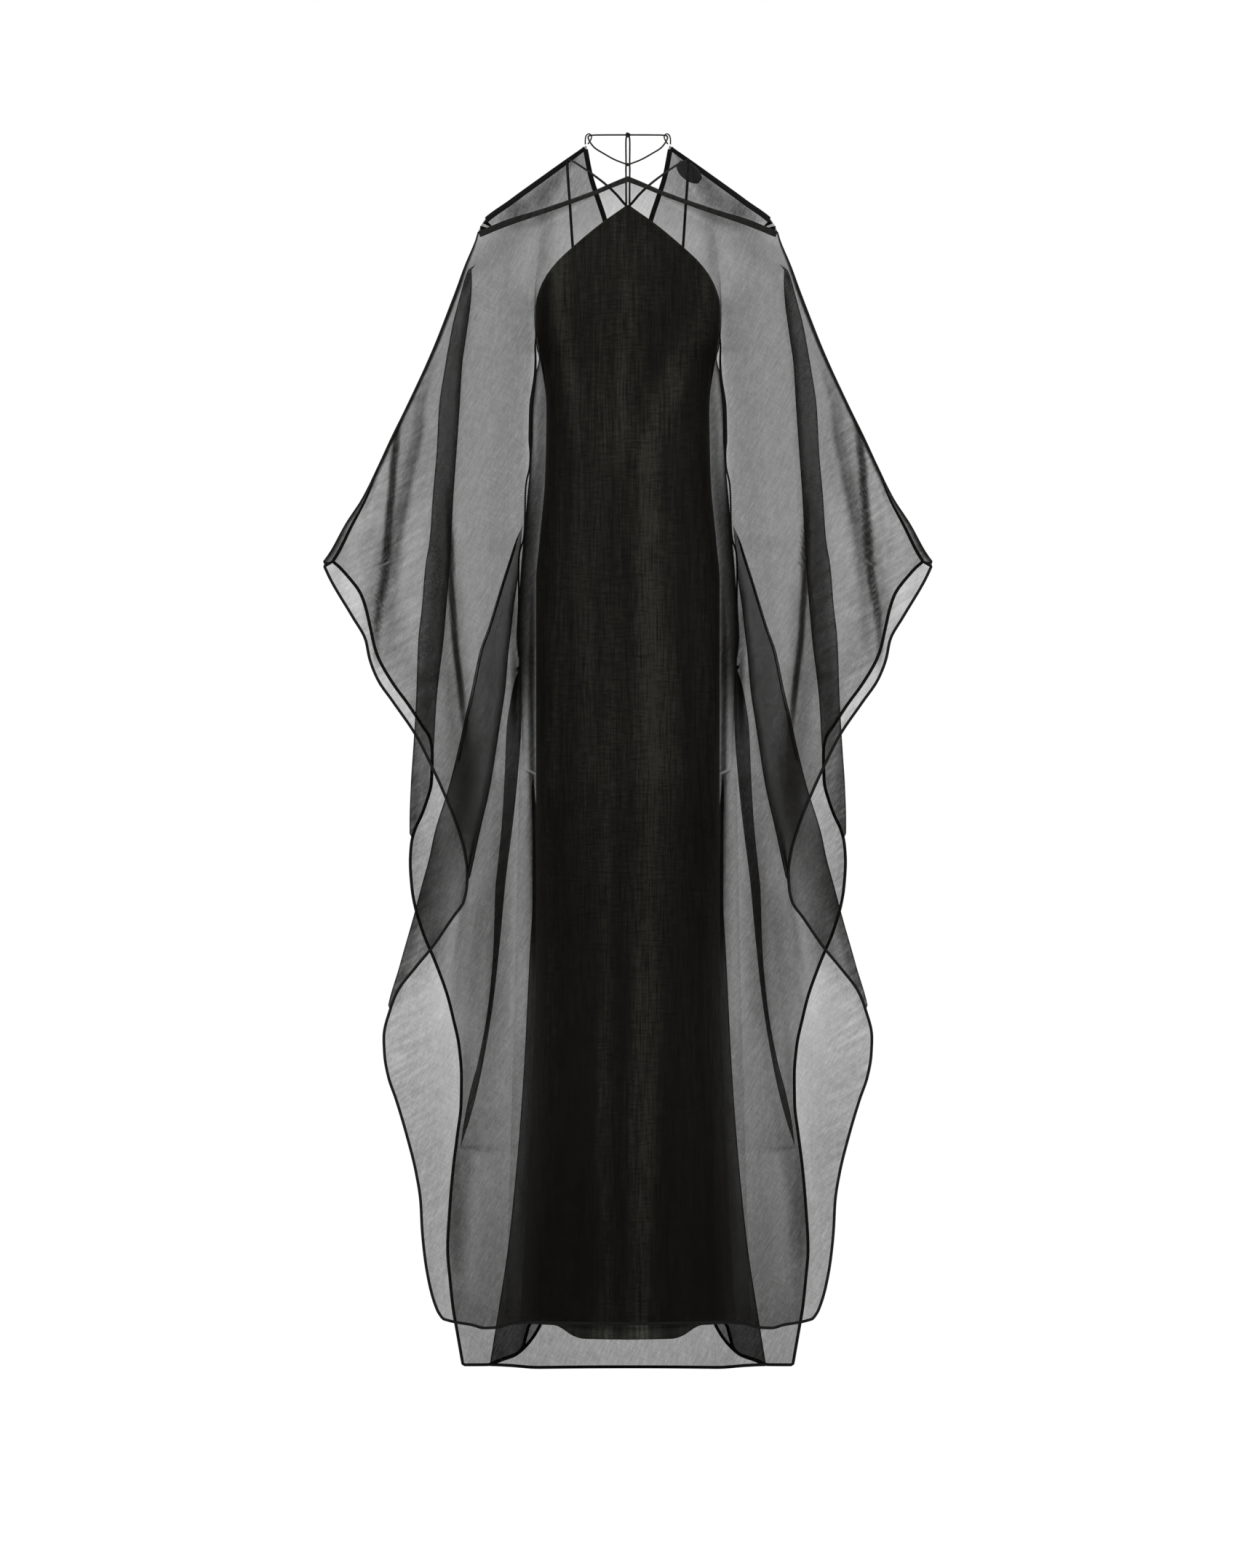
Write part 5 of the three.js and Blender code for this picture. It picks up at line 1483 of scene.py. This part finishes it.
def knot_path(centre, size):
    """A path that winds over and under itself three times and ends where it began."""
    t = np.linspace(0, 2 * math.pi, KNOT_POINTS)
    ring = (2 + np.cos(3 * t)) * size
    deep = np.sin(3 * t) * size * KNOT_DEPTH
    return (np.column_stack([ring * np.cos(2 * t), deep, ring * np.sin(2 * t)]) + centre) * MM


knots = {place: rolled(place + "_tied_knot", [knot_path(centre, size)], radius, cord_cloth, step,
                       CORD_SIDES)
         for place, (centre, size, radius, step) in KNOTS.items()}

# %% [markdown]
# ## Label
# A small blank patch is sewn inside the back, below the top binding. Its short ends are narrower
# than its middle. It is laid on the panel point by point, then given its thickness.

# %% The label
LABEL_WIDTH, LABEL_HEIGHT, LABEL_THICKNESS = 37, 21, 0.6
LABEL_POINT = 0.62  # how much lower the label is at its ends
LABEL_REACH, LABEL_DROP = 80, 34
LABEL_LIFT = 1.6  # towards the inside
LABEL_STITCH_LIFT = 0.4  # further than the label
LABEL_COUNT = 17  # points along each side
STITCH_LINE = 0.9  # how far out the end stitches lie, from the middle to the end
label_tilt = math.atan2(SHOULDER_DROP, SHOULDER_REACH - BACK_CORNER_REACH)


def label_point(u, v):
    a = u * LABEL_WIDTH / 2
    b = v * LABEL_HEIGHT / 2 * (1 - LABEL_POINT * abs(u) ** 2.5)
    reach = LABEL_REACH + a * math.cos(label_tilt) - b * math.sin(label_tilt)
    drop = LABEL_DROP + a * math.sin(label_tilt) + b * math.cos(label_tilt)
    return on_panel(back_surface, -1, reach, drop) - (0, LABEL_LIFT, 0)


shares = np.linspace(-1, 1, LABEL_COUNT)
points = np.array([label_point(u, v) for v in shares for u in shares]) * MM
label_mesh = bpy.data.meshes.new("label_patch")
label_mesh.from_pydata(points.tolist(), [], grid_faces(LABEL_COUNT, LABEL_COUNT, 0, False))
for face in label_mesh.polygons:
    face.use_smooth = True
label_mesh.materials.append(label_cloth)
label = new_object("label_patch", label_mesh)
thicken(label, LABEL_THICKNESS * MM, 0)
end_rows = []
for u in (-STITCH_LINE, STITCH_LINE):
    row = [label_point(u, v) for v in np.linspace(-STITCH_LINE, STITCH_LINE, 12)]
    end_rows.append(moved(np.array(row) * MM, y=-LABEL_STITCH_LIFT))
label_stitches = stitched("label_stitches", end_rows, "label")

# %% [markdown]
# ## Attaching the pieces
# Every piece rides on the one body, and the model's part that it stands for, if any, is hidden.
# The panels and the slip are sheets, so their flat size is worked out from their own rows: the
# longest row gives the width of cloth, and the line down the middle its length.


# %% Attach the pieces
def declare(piece, slot, *nodes):
    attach(piece, "root")
    if nodes:
        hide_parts(*nodes)


def length_of(points):
    return float(np.linalg.norm(np.diff(np.array(points), axis=0), axis=1).sum()) * MM


def cut_of(rows, panel):
    width = 2 * max(length_of(row) for row in rows)
    length = length_of([row[0] for row in rows])
    area = sum(face.area for face in panel.data.polygons)
    print(f"{panel.name}: cut {width:.3f} x {length:.3f} m, area {area:.3f} m2")
    return (width, length), min(area, width * length)


SLOTS = {  # each material slot, with its pieces and the solid that a piece stands for, if any
    "sheer_organza": [
        (kaftan_front, "kaftan_front"), (kaftan_back, "kaftan_back"),
        (hem_rolls["front"],), (hem_rolls["back"],), (hem_stitches["front"],), (hem_stitches["back"],),
    ],
    "slip_cloth": [
        (slip_front, "slip_front"), (slip_back, "slip_back"),
        (slip_hem_roll,), (slip_stitches,), (slip_side_seams,),
    ],
    "binding": [(front_neck_binding, "front_neck_binding")],
    "cord": [(knots["nape"], "nape_knot"), (knots["throat"], "throat_knot")],
    "label_cloth": [(label, "label"), (label_stitches,)],
    "strap": [],
}
for name in SIDES:
    SLOTS["binding"] += [
        (top_bindings[name], "back_top_binding_" + name),
        (opening_bindings[name], "back_opening_binding_" + name),
        (seams[name], "overarm_seam_" + name),
        (gathers[name],), (gather_stitches[name],),
    ]
    SLOTS["strap"].append((straps[name], "slip_strap_" + name))
    SLOTS["cord"] += [
        (cords["neck_rouleau", name], "neck_cord_" + name),
        (cords["front_rouleau", name], "front_loop_" + name),
        (cords["back_rouleau", name], "back_cord_" + name),
        (cords["corner_rouleau", name], "side_loop_" + name),
    ]
for slot, pieces in SLOTS.items():
    for piece, *nodes in pieces:
        declare(piece, slot, *nodes)
    print(slot + ":", len(pieces), "pieces")

# %% What the sheets are cut from
sheets = [  # panel, its rows, what holds it up on each side, and what is sewn to it
    (kaftan_front, front_rows, "front_rouleau",
     [hem_rolls["front"], hem_stitches["front"], front_neck_binding]),
    (kaftan_back, back_rows, "corner_rouleau",
     [hem_rolls["back"], hem_stitches["back"], *top_bindings.values(), *opening_bindings.values()]),
    (slip_front, slip_front_rows, "strap_tape", [slip_hem_roll, slip_stitches]),
    (slip_back, slip_back_rows, "strap_tape", [slip_side_seams]),
]
for panel, rows, holder, sewn_on in sheets:
    flat, area = cut_of(rows, panel)
